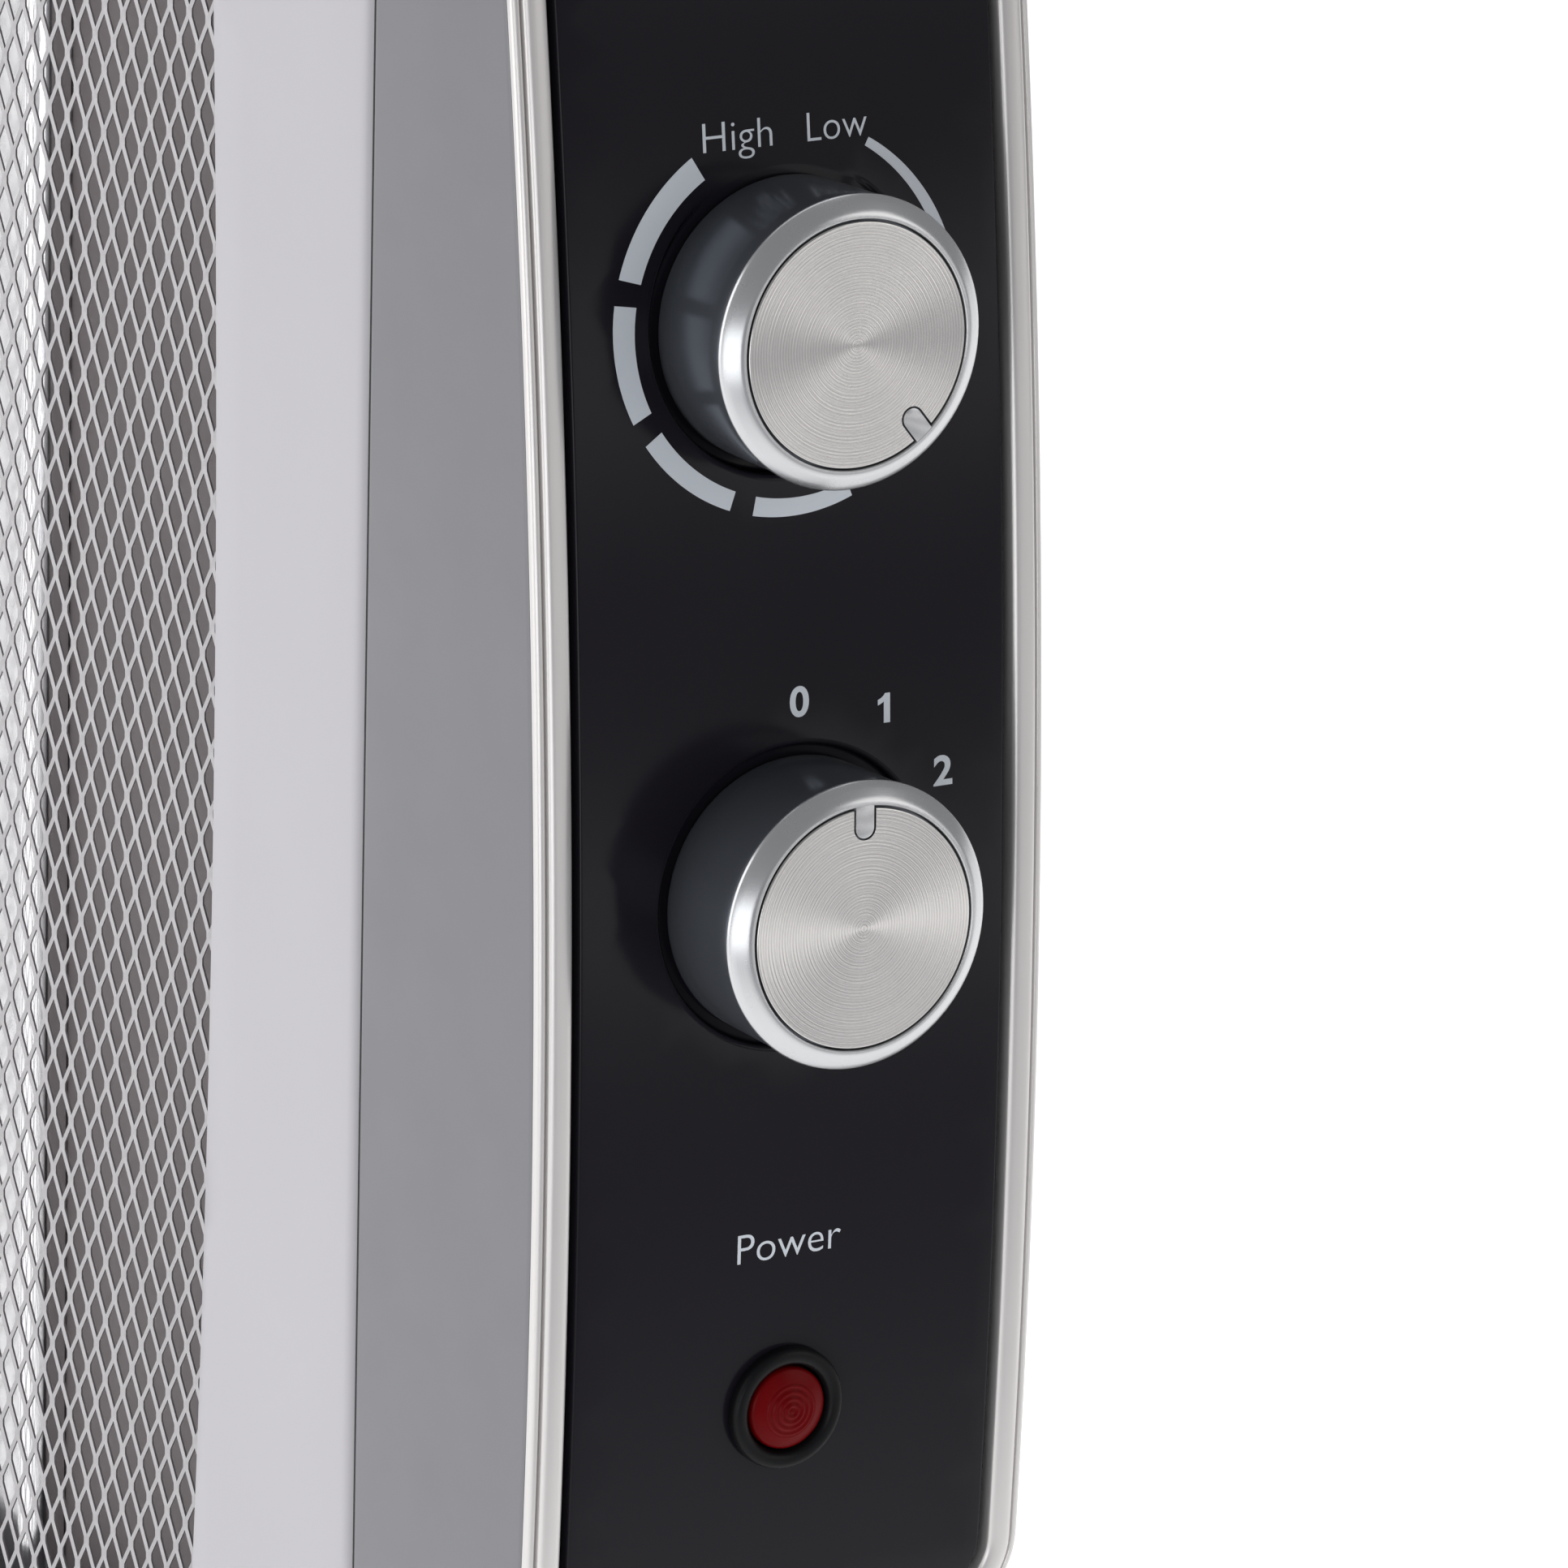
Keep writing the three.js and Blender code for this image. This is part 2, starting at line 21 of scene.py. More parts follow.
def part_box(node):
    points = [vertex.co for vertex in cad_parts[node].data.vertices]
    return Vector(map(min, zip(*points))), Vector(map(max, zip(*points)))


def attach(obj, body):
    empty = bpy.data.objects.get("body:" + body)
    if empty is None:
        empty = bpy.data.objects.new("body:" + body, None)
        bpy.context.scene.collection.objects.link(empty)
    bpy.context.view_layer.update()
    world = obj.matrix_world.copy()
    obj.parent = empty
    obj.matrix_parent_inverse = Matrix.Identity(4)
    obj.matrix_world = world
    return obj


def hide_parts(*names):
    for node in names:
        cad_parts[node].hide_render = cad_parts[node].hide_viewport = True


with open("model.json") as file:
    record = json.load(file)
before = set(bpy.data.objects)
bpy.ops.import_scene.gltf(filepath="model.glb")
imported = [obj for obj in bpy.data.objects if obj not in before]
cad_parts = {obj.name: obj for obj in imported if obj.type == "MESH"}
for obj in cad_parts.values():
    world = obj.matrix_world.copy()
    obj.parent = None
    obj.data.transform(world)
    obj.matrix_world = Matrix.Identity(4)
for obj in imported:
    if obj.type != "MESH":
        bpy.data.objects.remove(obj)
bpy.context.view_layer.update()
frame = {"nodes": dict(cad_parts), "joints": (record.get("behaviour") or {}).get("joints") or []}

MM = 0.001
FULL_TURN = 2 * math.pi
QUARTER = math.pi / 2
Point = tuple[float, float, float]
Spot = tuple[float, float]
Colour = tuple[float, float, float]
log = logging.getLogger("heater")


# ---------------------------------------------------------------- node graphs
class Term:
    """A value that varies over a surface or a mesh: a node's output that arithmetic works on."""

    def __init__(self, graph: "Graph", socket: bpy.types.NodeSocket) -> None:
        """Wraps one output socket of a graph."""
        self.graph = graph
        self.socket = socket

    def _join(self, operation: str, first: "Term | float", second: "Term | float") -> "Term":
        """A Math node's result on two values."""
        return self.graph.node("ShaderNodeMath", {"operation": operation}, {0: first, 1: second})

    def __add__(self, other: "Term | float") -> "Term":
        """self + other."""
        return self._join("ADD", self, other)

    def __radd__(self, other: float) -> "Term":
        """other + self."""
        return self._join("ADD", other, self)

    def __sub__(self, other: "Term | float") -> "Term":
        """self - other."""
        return self._join("SUBTRACT", self, other)

    def __rsub__(self, other: float) -> "Term":
        """other - self."""
        return self._join("SUBTRACT", other, self)

    def __mul__(self, other: "Term | float") -> "Term":
        """self * other."""
        return self._join("MULTIPLY", self, other)

    def __rmul__(self, other: float) -> "Term":
        """other * self."""
        return self._join("MULTIPLY", other, self)

    def __truediv__(self, other: "Term | float") -> "Term":
        """self / other."""
        return self._join("DIVIDE", self, other)

    def __mod__(self, other: "Term | float") -> "Term":
        """self modulo other, never negative."""
        return self._join("FLOORED_MODULO", self, other)

    def above(self, limit: "Term | float") -> "Term":
        """1 where the value is above the limit, else 0."""
        return self._join("GREATER_THAN", self, limit)

    def sine(self) -> "Term":
        """The sine of the value, in radians."""
        return self._join("SINE", self, 0.0)

    def cosine(self) -> "Term":
        """The cosine of the value, in radians."""
        return self._join("COSINE", self, 0.0)

    def floor(self) -> "Term":
        """The next whole number down."""
        return self._join("FLOOR", self, 0.0)


class Graph:
    """A node tree under construction, for a finish or for a repeated piece."""

    def __init__(self, tree: bpy.types.NodeTree) -> None:
        """Takes an empty node tree."""
        self.tree = tree

    def node(
        self,
        kind: str,
        settings: dict[str, object] | None = None,
        inputs: dict[int | str, object] | None = None,
        out: int | str = 0,
    ) -> Term:
        """Adds a node.

        Args:
            kind: the node's type.
            settings: its own settings, set first; "stops" are a ramp's places and colours.
            inputs: socket names or numbers with their values or the terms that feed them.
            out: the output that the result stands for.

        Returns:
            The chosen output.
        """
        made = self.tree.nodes.new(kind)
        for name, value in (settings or {}).items():
            if name == "stops":
                self._set_stops(made.color_ramp.elements, value)
            else:
                setattr(made, name, value)
        for name, value in (inputs or {}).items():
            self.feed(made.inputs[name], value)
        if not made.outputs:
            return Term(self, made.inputs[0])
        return Term(self, made.outputs[out])

    @staticmethod
    def _set_stops(elements: bpy.types.ColorRampElements, stops: list[tuple[float, Colour]]) -> None:
        """Puts the stops of a ramp in place."""
        while len(elements) < len(stops):
            elements.new(1.0)
        for element, (place, colour) in zip(elements, stops):
            element.position = place
            element.color = (*colour, 1.0)

    def feed(self, socket: bpy.types.NodeSocket, value: object) -> None:
        """Links a term to a socket, or sets the socket's own value."""
        if isinstance(value, Term):
            self.tree.links.new(value.socket, socket)
        else:
            socket.default_value = value

    def blend(self, share: "Term | float", first: object, second: object) -> Term:
        """A colour between two others.

        Args:
            share: 0 for the first, 1 for the second.
            first: a colour or a term.
            second: a colour or a term.

        Returns:
            The mixed colour.
        """
        settings = {"data_type": "RGBA"}
        return self.node("ShaderNodeMix", settings, {"Factor": share, 6: first, 7: second}, 2)


# -------------------------------------------------------------------- finishes
class Relief(Enum):
    """How the fine relief of a surface is laid out."""

    ORANGE_PEEL = "orange peel"
    MOULD_GRAIN = "mould grain"
    SPANGLE = "spangle"
    FLAKES = "flakes"


@dataclass(frozen=True)
class Finish:
    """A surface's colours, gloss and fine relief. Lengths are in millimetres."""

    name: str
    colour: Colour
    drift_colour: Colour
    roughness: float
    polish_swing: float = 0.06
    drift_size: float = 25.0
    metallic: float = 0.0
    specular: float = 0.5
    coat: float = 0.0
    coat_roughness: float = 0.12
    relief: Relief = Relief.MOULD_GRAIN
    grain: float = 0.6
    depth: float = 0.004

    def place(self, graph: Graph) -> Term:
        """The point on the piece, in metres."""
        return graph.node("ShaderNodeTexCoord", out="Object")

    def noise(self, graph: Graph, where: Term, size: float, detail: float = 2.0) -> Term:
        """Smooth noise from 0 to 1 with features of a size in millimetres."""
        inputs = {"Vector": where, "Scale": 1 / (size * MM), "Detail": detail}
        return graph.node("ShaderNodeTexNoise", None, inputs)

    def height(self, graph: Graph, where: Term) -> Term:
        """The relief from 0 to 1."""
        if self.relief in (Relief.SPANGLE, Relief.FLAKES):
            inputs = {"Vector": where, "Scale": 1 / (self.grain * MM)}
            cells = graph.node("ShaderNodeTexVoronoi", None, inputs, "Distance")
            return cells * 0.6 + self.noise(graph, where, self.grain * 0.4, 3.0) * 0.4
        detail = 1.0 if self.relief is Relief.ORANGE_PEEL else 3.0
        return self.noise(graph, where, self.grain, detail)

    def tint(self, graph: Graph, where: Term) -> Term:
        """The colour over the surface."""
        drift = self.noise(graph, where, self.drift_size, 3.0)
        return graph.blend(drift, (*self.colour, 1.0), (*self.drift_colour, 1.0))

    def gloss(self, graph: Graph, where: Term) -> Term:
        """The roughness over the surface."""
        patches = self.noise(graph, where, self.drift_size * 0.35, 4.0)
        return (patches - 0.5) * (2 * self.polish_swing) + self.roughness

    def material(self) -> bpy.types.Material:
        """Builds the node material.

        Returns:
            The new material.
        """
        made = bpy.data.materials.new(self.name)
        made.use_nodes = True
        made.node_tree.nodes.clear()
        graph = Graph(made.node_tree)
        where = self.place(graph)
        bump = graph.node(
            "ShaderNodeBump", None,
            {"Height": self.height(graph, where), "Distance": self.depth * MM, "Strength": 1.0},
        )
        shader = graph.node("ShaderNodeBsdfPrincipled", None, {
            "Base Color": self.tint(graph, where),
            "Roughness": self.gloss(graph, where),
            "Metallic": self.metallic,
            "Specular IOR Level": self.specular,
            "Coat Weight": self.coat,
            "Coat Roughness": self.coat_roughness,
            "Normal": bump,
        })
        graph.node("ShaderNodeOutputMaterial", None, {"Surface": shader})
        return made


@dataclass(frozen=True)
class TurnedFinish(Finish):
    """Metal turned on a lathe: fine rings round an axis."""

    centre: Point = (0.0, 0.0, 0.0)
    axis: Point = (1.0, 0.0, 0.0)
    ring_pitch: float = 0.45

    def radius(self, graph: Graph, where: Term) -> Term:
        """The distance from the axis, in millimetres."""
        settings = {"operation": "SUBTRACT"}
        away = graph.node("ShaderNodeVectorMath", settings, {0: where, 1: self.centre})
        across = graph.node("ShaderNodeVectorMath", {"operation": "CROSS_PRODUCT"}, {0: away, 1: self.axis})
        return graph.node("ShaderNodeVectorMath", {"operation": "LENGTH"}, {0: across}, "Value") / MM

    def height(self, graph: Graph, where: Term) -> Term:
        """Tool marks: noise that depends only on the distance from the axis."""
        reach = self.radius(graph, where) / self.ring_pitch
        settings = {"noise_dimensions": "1D"}
        return graph.node("ShaderNodeTexNoise", settings, {"W": reach, "Scale": 2.0, "Detail": 3.0})

    def tint(self, graph: Graph, where: Term) -> Term:
        """Rings a little lighter and darker than each other."""
        reach = self.radius(graph, where) * (FULL_TURN / self.ring_pitch)
        return graph.blend(reach.sine() * 0.5 + 0.5, (*self.colour, 1.0), (*self.drift_colour, 1.0))


CASING_PAINT = Finish(
    "casing_paint", (0.43, 0.417, 0.442), (0.44, 0.427, 0.452), 0.42, metallic=0.0, coat=0.15,
    relief=Relief.ORANGE_PEEL, grain=1.6, depth=0.006, drift_size=60,
)
CAP_PAINT = Finish(
    "cap_silver_grey", (0.163, 0.162, 0.176), (0.17, 0.169, 0.183), 0.40, metallic=0.25,
    grain=0.45, depth=0.003, drift_size=40,
)
BEZEL_SILVER = Finish(
    "bezel_silver", (0.60, 0.585, 0.575), (0.62, 0.60, 0.59), 0.32, metallic=0.55,
    grain=0.4, depth=0.002, drift_size=30, coat=0.1,
)
FASCIA_BLACK = Finish(
    "fascia_black", (0.0085, 0.0075, 0.0108), (0.0095, 0.008, 0.0115), 0.17, polish_swing=0.02,
    specular=0.16, relief=Relief.ORANGE_PEEL, grain=2.5, depth=0.0015, drift_size=50,
)
PRINT_GREY = Finish(
    "dial_print", (0.58, 0.62, 0.67), (0.60, 0.64, 0.69), 0.5, grain=0.25, depth=0.003, drift_size=6,
)
MESH_STEEL = Finish(
    "mesh_silver", (0.43, 0.42, 0.425), (0.38, 0.37, 0.38), 0.38, metallic=0.35,
    grain=0.8, depth=0.01, drift_size=7,
)
MICA_BOARD = Finish(
    "mica_board", (0.118, 0.098, 0.10), (0.145, 0.127, 0.13), 0.62, polish_swing=0.12,
    relief=Relief.FLAKES, grain=3.5, depth=0.03, drift_size=9, coat=0.15, coat_roughness=0.35,
)
ALUMINIUM = Finish(
    "bright_aluminium", (0.80, 0.79, 0.80), (0.72, 0.715, 0.73), 0.16, metallic=1.0, polish_swing=0.04,
    relief=Relief.MOULD_GRAIN, grain=7.0, depth=0.05, drift_size=14,
)
KNOB_DARK = Finish(
    "knob_blue_grey", (0.125, 0.137, 0.158), (0.13, 0.142, 0.164), 0.24, polish_swing=0.03, metallic=0.7,
    specular=0.5, grain=0.35, depth=0.002, drift_size=12,
)
BLACK_PLASTIC = Finish(
    "black_moulding", (0.012, 0.012, 0.0125), (0.018, 0.018, 0.019), 0.45, polish_swing=0.08,
    grain=0.7, depth=0.02, drift_size=18,
)
LAMP_RIM = Finish(
    "lamp_rim_black", (0.004, 0.0042, 0.005), (0.005, 0.0052, 0.006), 0.38, specular=0.12,
    grain=0.5, depth=0.003, drift_size=5,
)
LAMP_RED = Finish(
    "lamp_red", (0.095, 0.0008, 0.0016), (0.14, 0.001, 0.002), 0.3, specular=0.06,
    grain=1.2, depth=0.004, drift_size=5,
)
ZINC_STEEL = Finish(
    "zinc_steel", (0.46, 0.47, 0.48), (0.60, 0.61, 0.62), 0.34, metallic=0.95, polish_swing=0.1,
    relief=Relief.SPANGLE, grain=2.2, depth=0.006, drift_size=5,
)
CERAMIC = Finish(
    "ceramic", (0.72, 0.68, 0.60), (0.78, 0.75, 0.69), 0.55, grain=0.5, depth=0.01, drift_size=10,
)
RUBBER = Finish(
    "rubber", (0.018, 0.018, 0.0185), (0.03, 0.029, 0.028), 0.72, polish_swing=0.12,
    grain=0.5, depth=0.02, drift_size=12,
)
WHEEL_HUB = Finish(
    "wheel_hub_grey", (0.16, 0.165, 0.17), (0.19, 0.195, 0.2), 0.45, grain=0.5, depth=0.01, drift_size=8,
)


class Paints:
    """The heater's materials, each made once."""

    def __init__(self) -> None:
        """Starts with no material made."""
        self._made: dict[str, bpy.types.Material] = {}

    def __getitem__(self, finish: Finish) -> bpy.types.Material:
        """The material of a finish."""
        if finish.name not in self._made:
            self._made[finish.name] = finish.material()
        return self._made[finish.name]


PAINTS = Paints()


# ---------------------------------------------------------------------- meshes
class Patchwork:
    """Points and faces of one piece, in millimetres, before they become a mesh."""

    def __init__(self) -> None:
        """Starts with no faces."""
        self.points: list[Point] = []
        self.faces: list[tuple[int, ...]] = []

    def add(self, points: Sequence[Point], faces: Sequence[Sequence[int]]) -> None:
        """Adds faces whose numbers count from the first of the given points."""
        start = len(self.points)
        self.points.extend(points)
        self.faces.extend(tuple(start + corner for corner in face) for face in faces)

    def grid(self, rows: Sequence[Sequence[Point]], round_: bool = False, loop: bool = False) -> None:
        """Joins rows of points with quads.

        Args:
            rows: rows with equally many points.
            round_: whether each row's last point joins its first.
            loop: whether the last row joins the first.
        """
        across = len(rows[0])
        steps = across if round_ else across - 1
        faces = []
        for row in range(len(rows) if loop else len(rows) - 1):
            near, far_shade = row * across, ((row + 1) % len(rows)) * across
            for column in range(steps):
                after = (column + 1) % across
                faces.append((near + column, near + after, far_shade + after, far_shade + column))
        self.add([point for row in rows for point in row], faces)

    def cap(self, ring: Sequence[Point]) -> None:
        """Closes a ring with one face."""
        self.add(ring, [tuple(range(len(ring)))])

    def mirrored(self, axis: int, about: float) -> "Patchwork":
        """The same piece on the other side of a plane."""
        other = Patchwork()
        flipped = [list(point) for point in self.points]
        for point in flipped:
            point[axis] = 2 * about - point[axis]
        other.add([tuple(point) for point in flipped], self.faces)
        return other

    def build(
        self, name: str, finish: Finish, sharp: float = 32.0, merge: float = 0.002
    ) -> bpy.types.Object:
        """Makes the mesh object, in metres.

        Args:
            name: the piece's name.
            finish: what it is dressed in.
            sharp: edges that turn by more degrees than this stay crisp.
            merge: points closer than this many millimetres become one.

        Returns:
            The new object, at the origin.
        """
        mesh = bpy.data.meshes.new(name)
        mesh.from_pydata([[value * MM for value in point] for point in self.points], [], self.faces)
        tidy_mesh(mesh, merge, sharp)
        mesh.materials.append(PAINTS[finish])
        piece = bpy.data.objects.new(name, mesh)
        bpy.context.scene.collection.objects.link(piece)
        return piece


def tidy_mesh(mesh: bpy.types.Mesh, merge: float, sharp: float) -> None:
    """Merges doubles, drops faces with no area, turns faces outwards and marks crisp edges.

    Args:
        mesh: the mesh to change.
        merge: points closer than this many millimetres become one.
        sharp: edges that turn by more degrees than this stay crisp.
    """
    work = bmesh.new()
    work.from_mesh(mesh)
    bmesh.ops.remove_doubles(work, verts=work.verts, dist=merge * MM)
    bmesh.ops.dissolve_degenerate(work, edges=work.edges, dist=merge * MM * 0.5)
    loose = [vertex for vertex in work.verts if not vertex.link_faces]
    bmesh.ops.delete(work, geom=loose, context="VERTS")
    bmesh.ops.recalc_face_normals(work, faces=work.faces)
    work.to_mesh(mesh)
    work.free()
    crisp(mesh, sharp)


def crisp(mesh: bpy.types.Mesh, sharp: float) -> None:
    """Shades a mesh smooth, but for edges that turn by more degrees than sharp."""
    mesh.polygons.foreach_set("use_smooth", [True] * len(mesh.polygons))
    mesh.set_sharp_from_angle(angle=math.radians(sharp))


def settle(piece: bpy.types.Object, sharp: float = 32.0) -> bpy.types.Object:
    """Turns a piece's modifiers into plain mesh and removes them.

    Args:
        piece: the object with modifiers.
        sharp: edges that turn by more degrees than this stay crisp.

    Returns:
        The same object.
    """
    graph = bpy.context.evaluated_depsgraph_get()
    mesh = bpy.data.meshes.new_from_object(piece.evaluated_get(graph))
    piece.modifiers.clear()
    piece.data = mesh
    crisp(mesh, sharp)
    return piece


def thicken(piece: bpy.types.Object, wall: float) -> None:
    """Gives a sheet a wall behind its outer face, in millimetres."""
    solidify = piece.modifiers.new("wall", "SOLIDIFY")
    solidify.thickness = wall * MM
    solidify.offset = -1.0
    solidify.use_even_offset = True


def round_edges(piece: bpy.types.Object, width: float, steps: int = 2, over: float = 40.0) -> None:
    """Rounds edges that turn by more than some degrees, by a width in millimetres."""
    bevel = piece.modifiers.new("round", "BEVEL")
    bevel.width = width * MM
    bevel.segments = steps
    bevel.limit_method = "ANGLE"
    bevel.angle_limit = math.radians(over)
    bevel.use_clamp_overlap = True
    bevel.miter_outer = "MITER_ARC"


def carve(piece: bpy.types.Object, tool: bpy.types.Object) -> None:
    """Cuts a tool's shape out of a piece and removes the tool."""
    cut = piece.modifiers.new("cut", "BOOLEAN")
    cut.operation = "DIFFERENCE"
    cut.solver = "EXACT"
    cut.object = tool
    settle(piece)
    bpy.data.objects.remove(tool)


def seat(piece: bpy.types.Object, body: str, slot: str, *stands_for: str) -> bpy.types.Object:
    """Gives a finished piece its body and hides the frame nodes that it stands for."""
    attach(piece, body)
    if stands_for:
        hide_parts(*stands_for)
    faces = len(piece.data.polygons)
    log.info("%s: %d faces on %s", piece.name, faces, body)
    return piece


def span(start: float, stop: float, steps: int) -> list[float]:
    """Evenly spaced values from start to stop, both included."""
    return [start + (stop - start) * index / steps for index in range(steps + 1)]


def arc(centre: Spot, radius: float, start: float, stop: float, steps: int) -> list[Spot]:
    """Points on an arc, angles in radians, both ends included."""
    return [
        (centre[0] + radius * math.cos(angle), centre[1] + radius * math.sin(angle))
        for angle in span(start, stop, steps)
    ]


def inside(spots: np.ndarray, outline: Sequence[Spot]) -> np.ndarray:
    """Which spots lie inside a closed outline.

    Args:
        spots: an array of shape (n, 2).
        outline: the outline's corners in order.

    Returns:
        An array of n truth values.
    """
    corners = np.array(outline)
    after = np.roll(corners, -1, axis=0)
    odd = np.zeros(len(spots), bool)
    for (u0, v0), (u1, v1) in zip(corners, after):
        if v0 == v1:
            continue
        crosses = (v0 > spots[:, 1]) != (v1 > spots[:, 1])
        odd ^= crosses & (spots[:, 0] < (u1 - u0) * (spots[:, 1] - v0) / (v1 - v0) + u0)
    return odd


def fill(outline: Sequence[Spot], holes: Sequence[Sequence[Spot]], spacing: float):
    """Triangles that fill an outline less its holes, with a grid of points between.

    Args:
        outline: the outer edge.
        holes: inner edges.
        spacing: distance between the points of the grid.

    Returns:
        The points and the triangles.
    """
    edges_of, spots = [], []
    for ring in (outline, *holes):
        first = len(spots)
        spots.extend(ring)
        edges_of.extend((first + i, first + (i + 1) % len(ring)) for i in range(len(ring)))
    rim = np.array(spots)
    low, high = rim.min(0), rim.max(0)
    columns = np.arange(low[0] + spacing / 2, high[0], spacing)
    rows = np.arange(low[1] + spacing / 2, high[1], spacing)
    candidates = np.array([(u, v) for u in columns for v in rows])
    keep = inside(candidates, outline)
    for hole in holes:
        keep &= ~inside(candidates, hole)
    candidates = candidates[keep]
    reach = np.sqrt(((candidates[:, None, :] - rim[None, :, :]) ** 2).sum(2)).min(1)
    spots.extend(map(tuple, candidates[reach > spacing * 0.55]))
    made = delaunay_2d_cdt([Vector(spot) for spot in spots], edges_of, [], 0, 1e-6)
    points = [tuple(point) for point in made[0]]
    middles = np.array([np.mean([points[corner] for corner in face], axis=0) for face in made[2]])
    keep = inside(middles, outline)
    for hole in holes:
        keep &= ~inside(middles, hole)
    return points, [face for face, kept in zip(made[2], keep) if kept]


# ------------------------------------------------------------ the body's shape
@dataclass(frozen=True)
class Layout:
    """Where the heater's main faces stand, in millimetres."""

    peak: float
    middle: float
    half_thickness: float
    low: float
    high: float
    loop_low: float
    bow_height: float
    corner: float = 14.0
    bow_radius: float = 1231.0
    bow_rise: float = 210.0
    bezel_proud: float = 0.9
    bezel_inset: float = 0.1
    bow_drop: float = 50.0
    setback: float = 2.35
    lip_top: float = 20.0
    lip_run: float = 12.0
    flat_steps: int = 10

    @classmethod
    def from_frame(cls) -> "Layout":
        """Reads the end cap and the bezels from the frame."""
        low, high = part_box("end_cap_right")
        right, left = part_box("bezel_right")[1].x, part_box("bezel_left")[0].x
        power = next(joint for joint in frame["joints"] if joint["name"] == "power_turn")
        return cls(
            peak=right / MM - cls.bezel_proud,
            middle=(right + left) / 2 / MM,
            half_thickness=high.y / MM,
            low=low.z / MM,
            high=high.z / MM,
            loop_low=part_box("bezel_right")[0].z / MM - cls.bezel_inset,
            bow_height=power["pos_m"][2] / MM - cls.bow_drop,
        )

    def bow(self, z: float) -> float:
        """How far the end face stands behind its peak at a height; above the bow it runs on straight."""
        top = self.bow_height + self.bow_rise
        reach = min(z, top) - self.bow_height
        drop = -(reach**2) / (2 * self.bow_radius)
        return drop - self.bow_rise / self.bow_radius * max(0.0, z - top)

    def face(self, z: float, proud: float = 0.0) -> float:
        """X of the right end face at a height."""
        return self.peak + self.bow(z) + proud

    def sink(self, z: float) -> float:
        """How far the cap's lip is set back at a height: in full below the end panel, nowhere beside it."""
        return self.setback * min(1.0, max(0.0, (self.loop_low + self.lip_top - z) / self.lip_run))

    def outline(
        self, inset: float, whole: bool = False, side_steps: int = 96, corner_steps: int = 14
    ) -> list[Spot]:
        """An outline seen from the end, as (y, z), anticlockwise from low on the +Y side.

        Args:
            inset: how far it runs inside the body's edge.
            whole: True for the whole end cap, False for the bezel's loop, which stops higher up.
            side_steps: points up each side.
            corner_steps: points round each corner.

        Returns:
            The closed outline.
        """
        radius = max(self.corner - inset, 1.0)
        wide, high = self.half_thickness - inset, self.high - inset
        low = (self.low if whole else self.loop_low) + inset
        inner, bottom, top = wide - radius, low + radius, high - radius
        spots = [(wide, z) for z in span(bottom, top, side_steps)[:-1]]
        spots += arc((inner, top), radius, 0, QUARTER, corner_steps)[:-1]
        spots += [(y, high) for y in span(inner, -inner, self.flat_steps)[:-1]]
        spots += arc((-inner, top), radius, QUARTER, math.pi, corner_steps)[:-1]
        spots += [(-wide, z) for z in span(top, bottom, side_steps)[:-1]]
        spots += arc((-inner, bottom), radius, math.pi, 3 * QUARTER, corner_steps)[:-1]
        spots += [(y, low) for y in span(-inner, inner, self.flat_steps)[:-1]]
        spots += arc((inner, bottom), radius, -QUARTER, 0, corner_steps)[:-1]
        return spots

    def ring(
        self, section: Sequence[tuple[float, Callable[[float], float]]], whole: bool = False
    ) -> Patchwork:
        """A section carried round an outline; each point is an inset and an X that depends on height."""
        work = Patchwork()
        rows = [[(x(z), y, z) for y, z in self.outline(inset, whole)] for inset, x in section]
        work.grid(rows, round_=True, loop=True)
        return work

    def off_face(self, proud: float) -> Callable[[float], float]:
        """X of the end face moved out by an amount, for a height."""
        return lambda z: self.face(z, proud)

    def off_lip(self, proud: float) -> Callable[[float], float]:
        """X of the cap's lip moved out by an amount, for a height."""
        return lambda z: self.face(z, proud - self.sink(z))


@dataclass(frozen=True)
class Axis:
    """A turned piece's own frame: a point, the way out, up across it and +Y."""

    origin: Vector
    out: Vector
    up: Vector

    @classmethod
    def of_joint(cls, name: str) -> "Axis":
        """The axis of a knob's joint, pointing out of the fascia, in millimetres."""
        joint = next(joint for joint in frame["joints"] if joint["name"] == name)
        out = -Vector(joint["axis"]).normalized()
        return cls(Vector(joint["pos_m"]) / MM, out, out.cross(Vector((0, 1, 0))))

    @classmethod
    def level(cls, x: float, y: float, z: float) -> "Axis":
        """An axis along +X through a point."""
        return cls(Vector((x, y, z)), Vector((1, 0, 0)), Vector((0, 0, 1)))

    @classmethod
    def across(cls, x: float, y: float, z: float) -> "Axis":
        """An axis along Y through a point."""
        return cls(Vector((x, y, z)), Vector((0, 1, 0)), Vector((0, 0, 1)))

    def at(self, radius: float, height: float, angle: float) -> Point:
        """The point at a radius and height, angle clockwise from the top seen from outside."""
        side = self.up.cross(self.out)
        place = self.origin + self.out * height
        place = place + self.up * (radius * math.cos(angle)) + side * (radius * math.sin(angle))
        return tuple(place)

    def turned(self, profile: Sequence[Spot], steps: int = 128) -> Patchwork:
        """A closed profile of (radius, height) points turned round the axis."""
        work = Patchwork()
        angles = span(0, FULL_TURN, steps)[:-1]
        rows = [[self.at(radius, height, angle) for angle in angles] for radius, height in profile]
        work.grid(rows, round_=True, loop=profile[0][0] > 0)
        return work


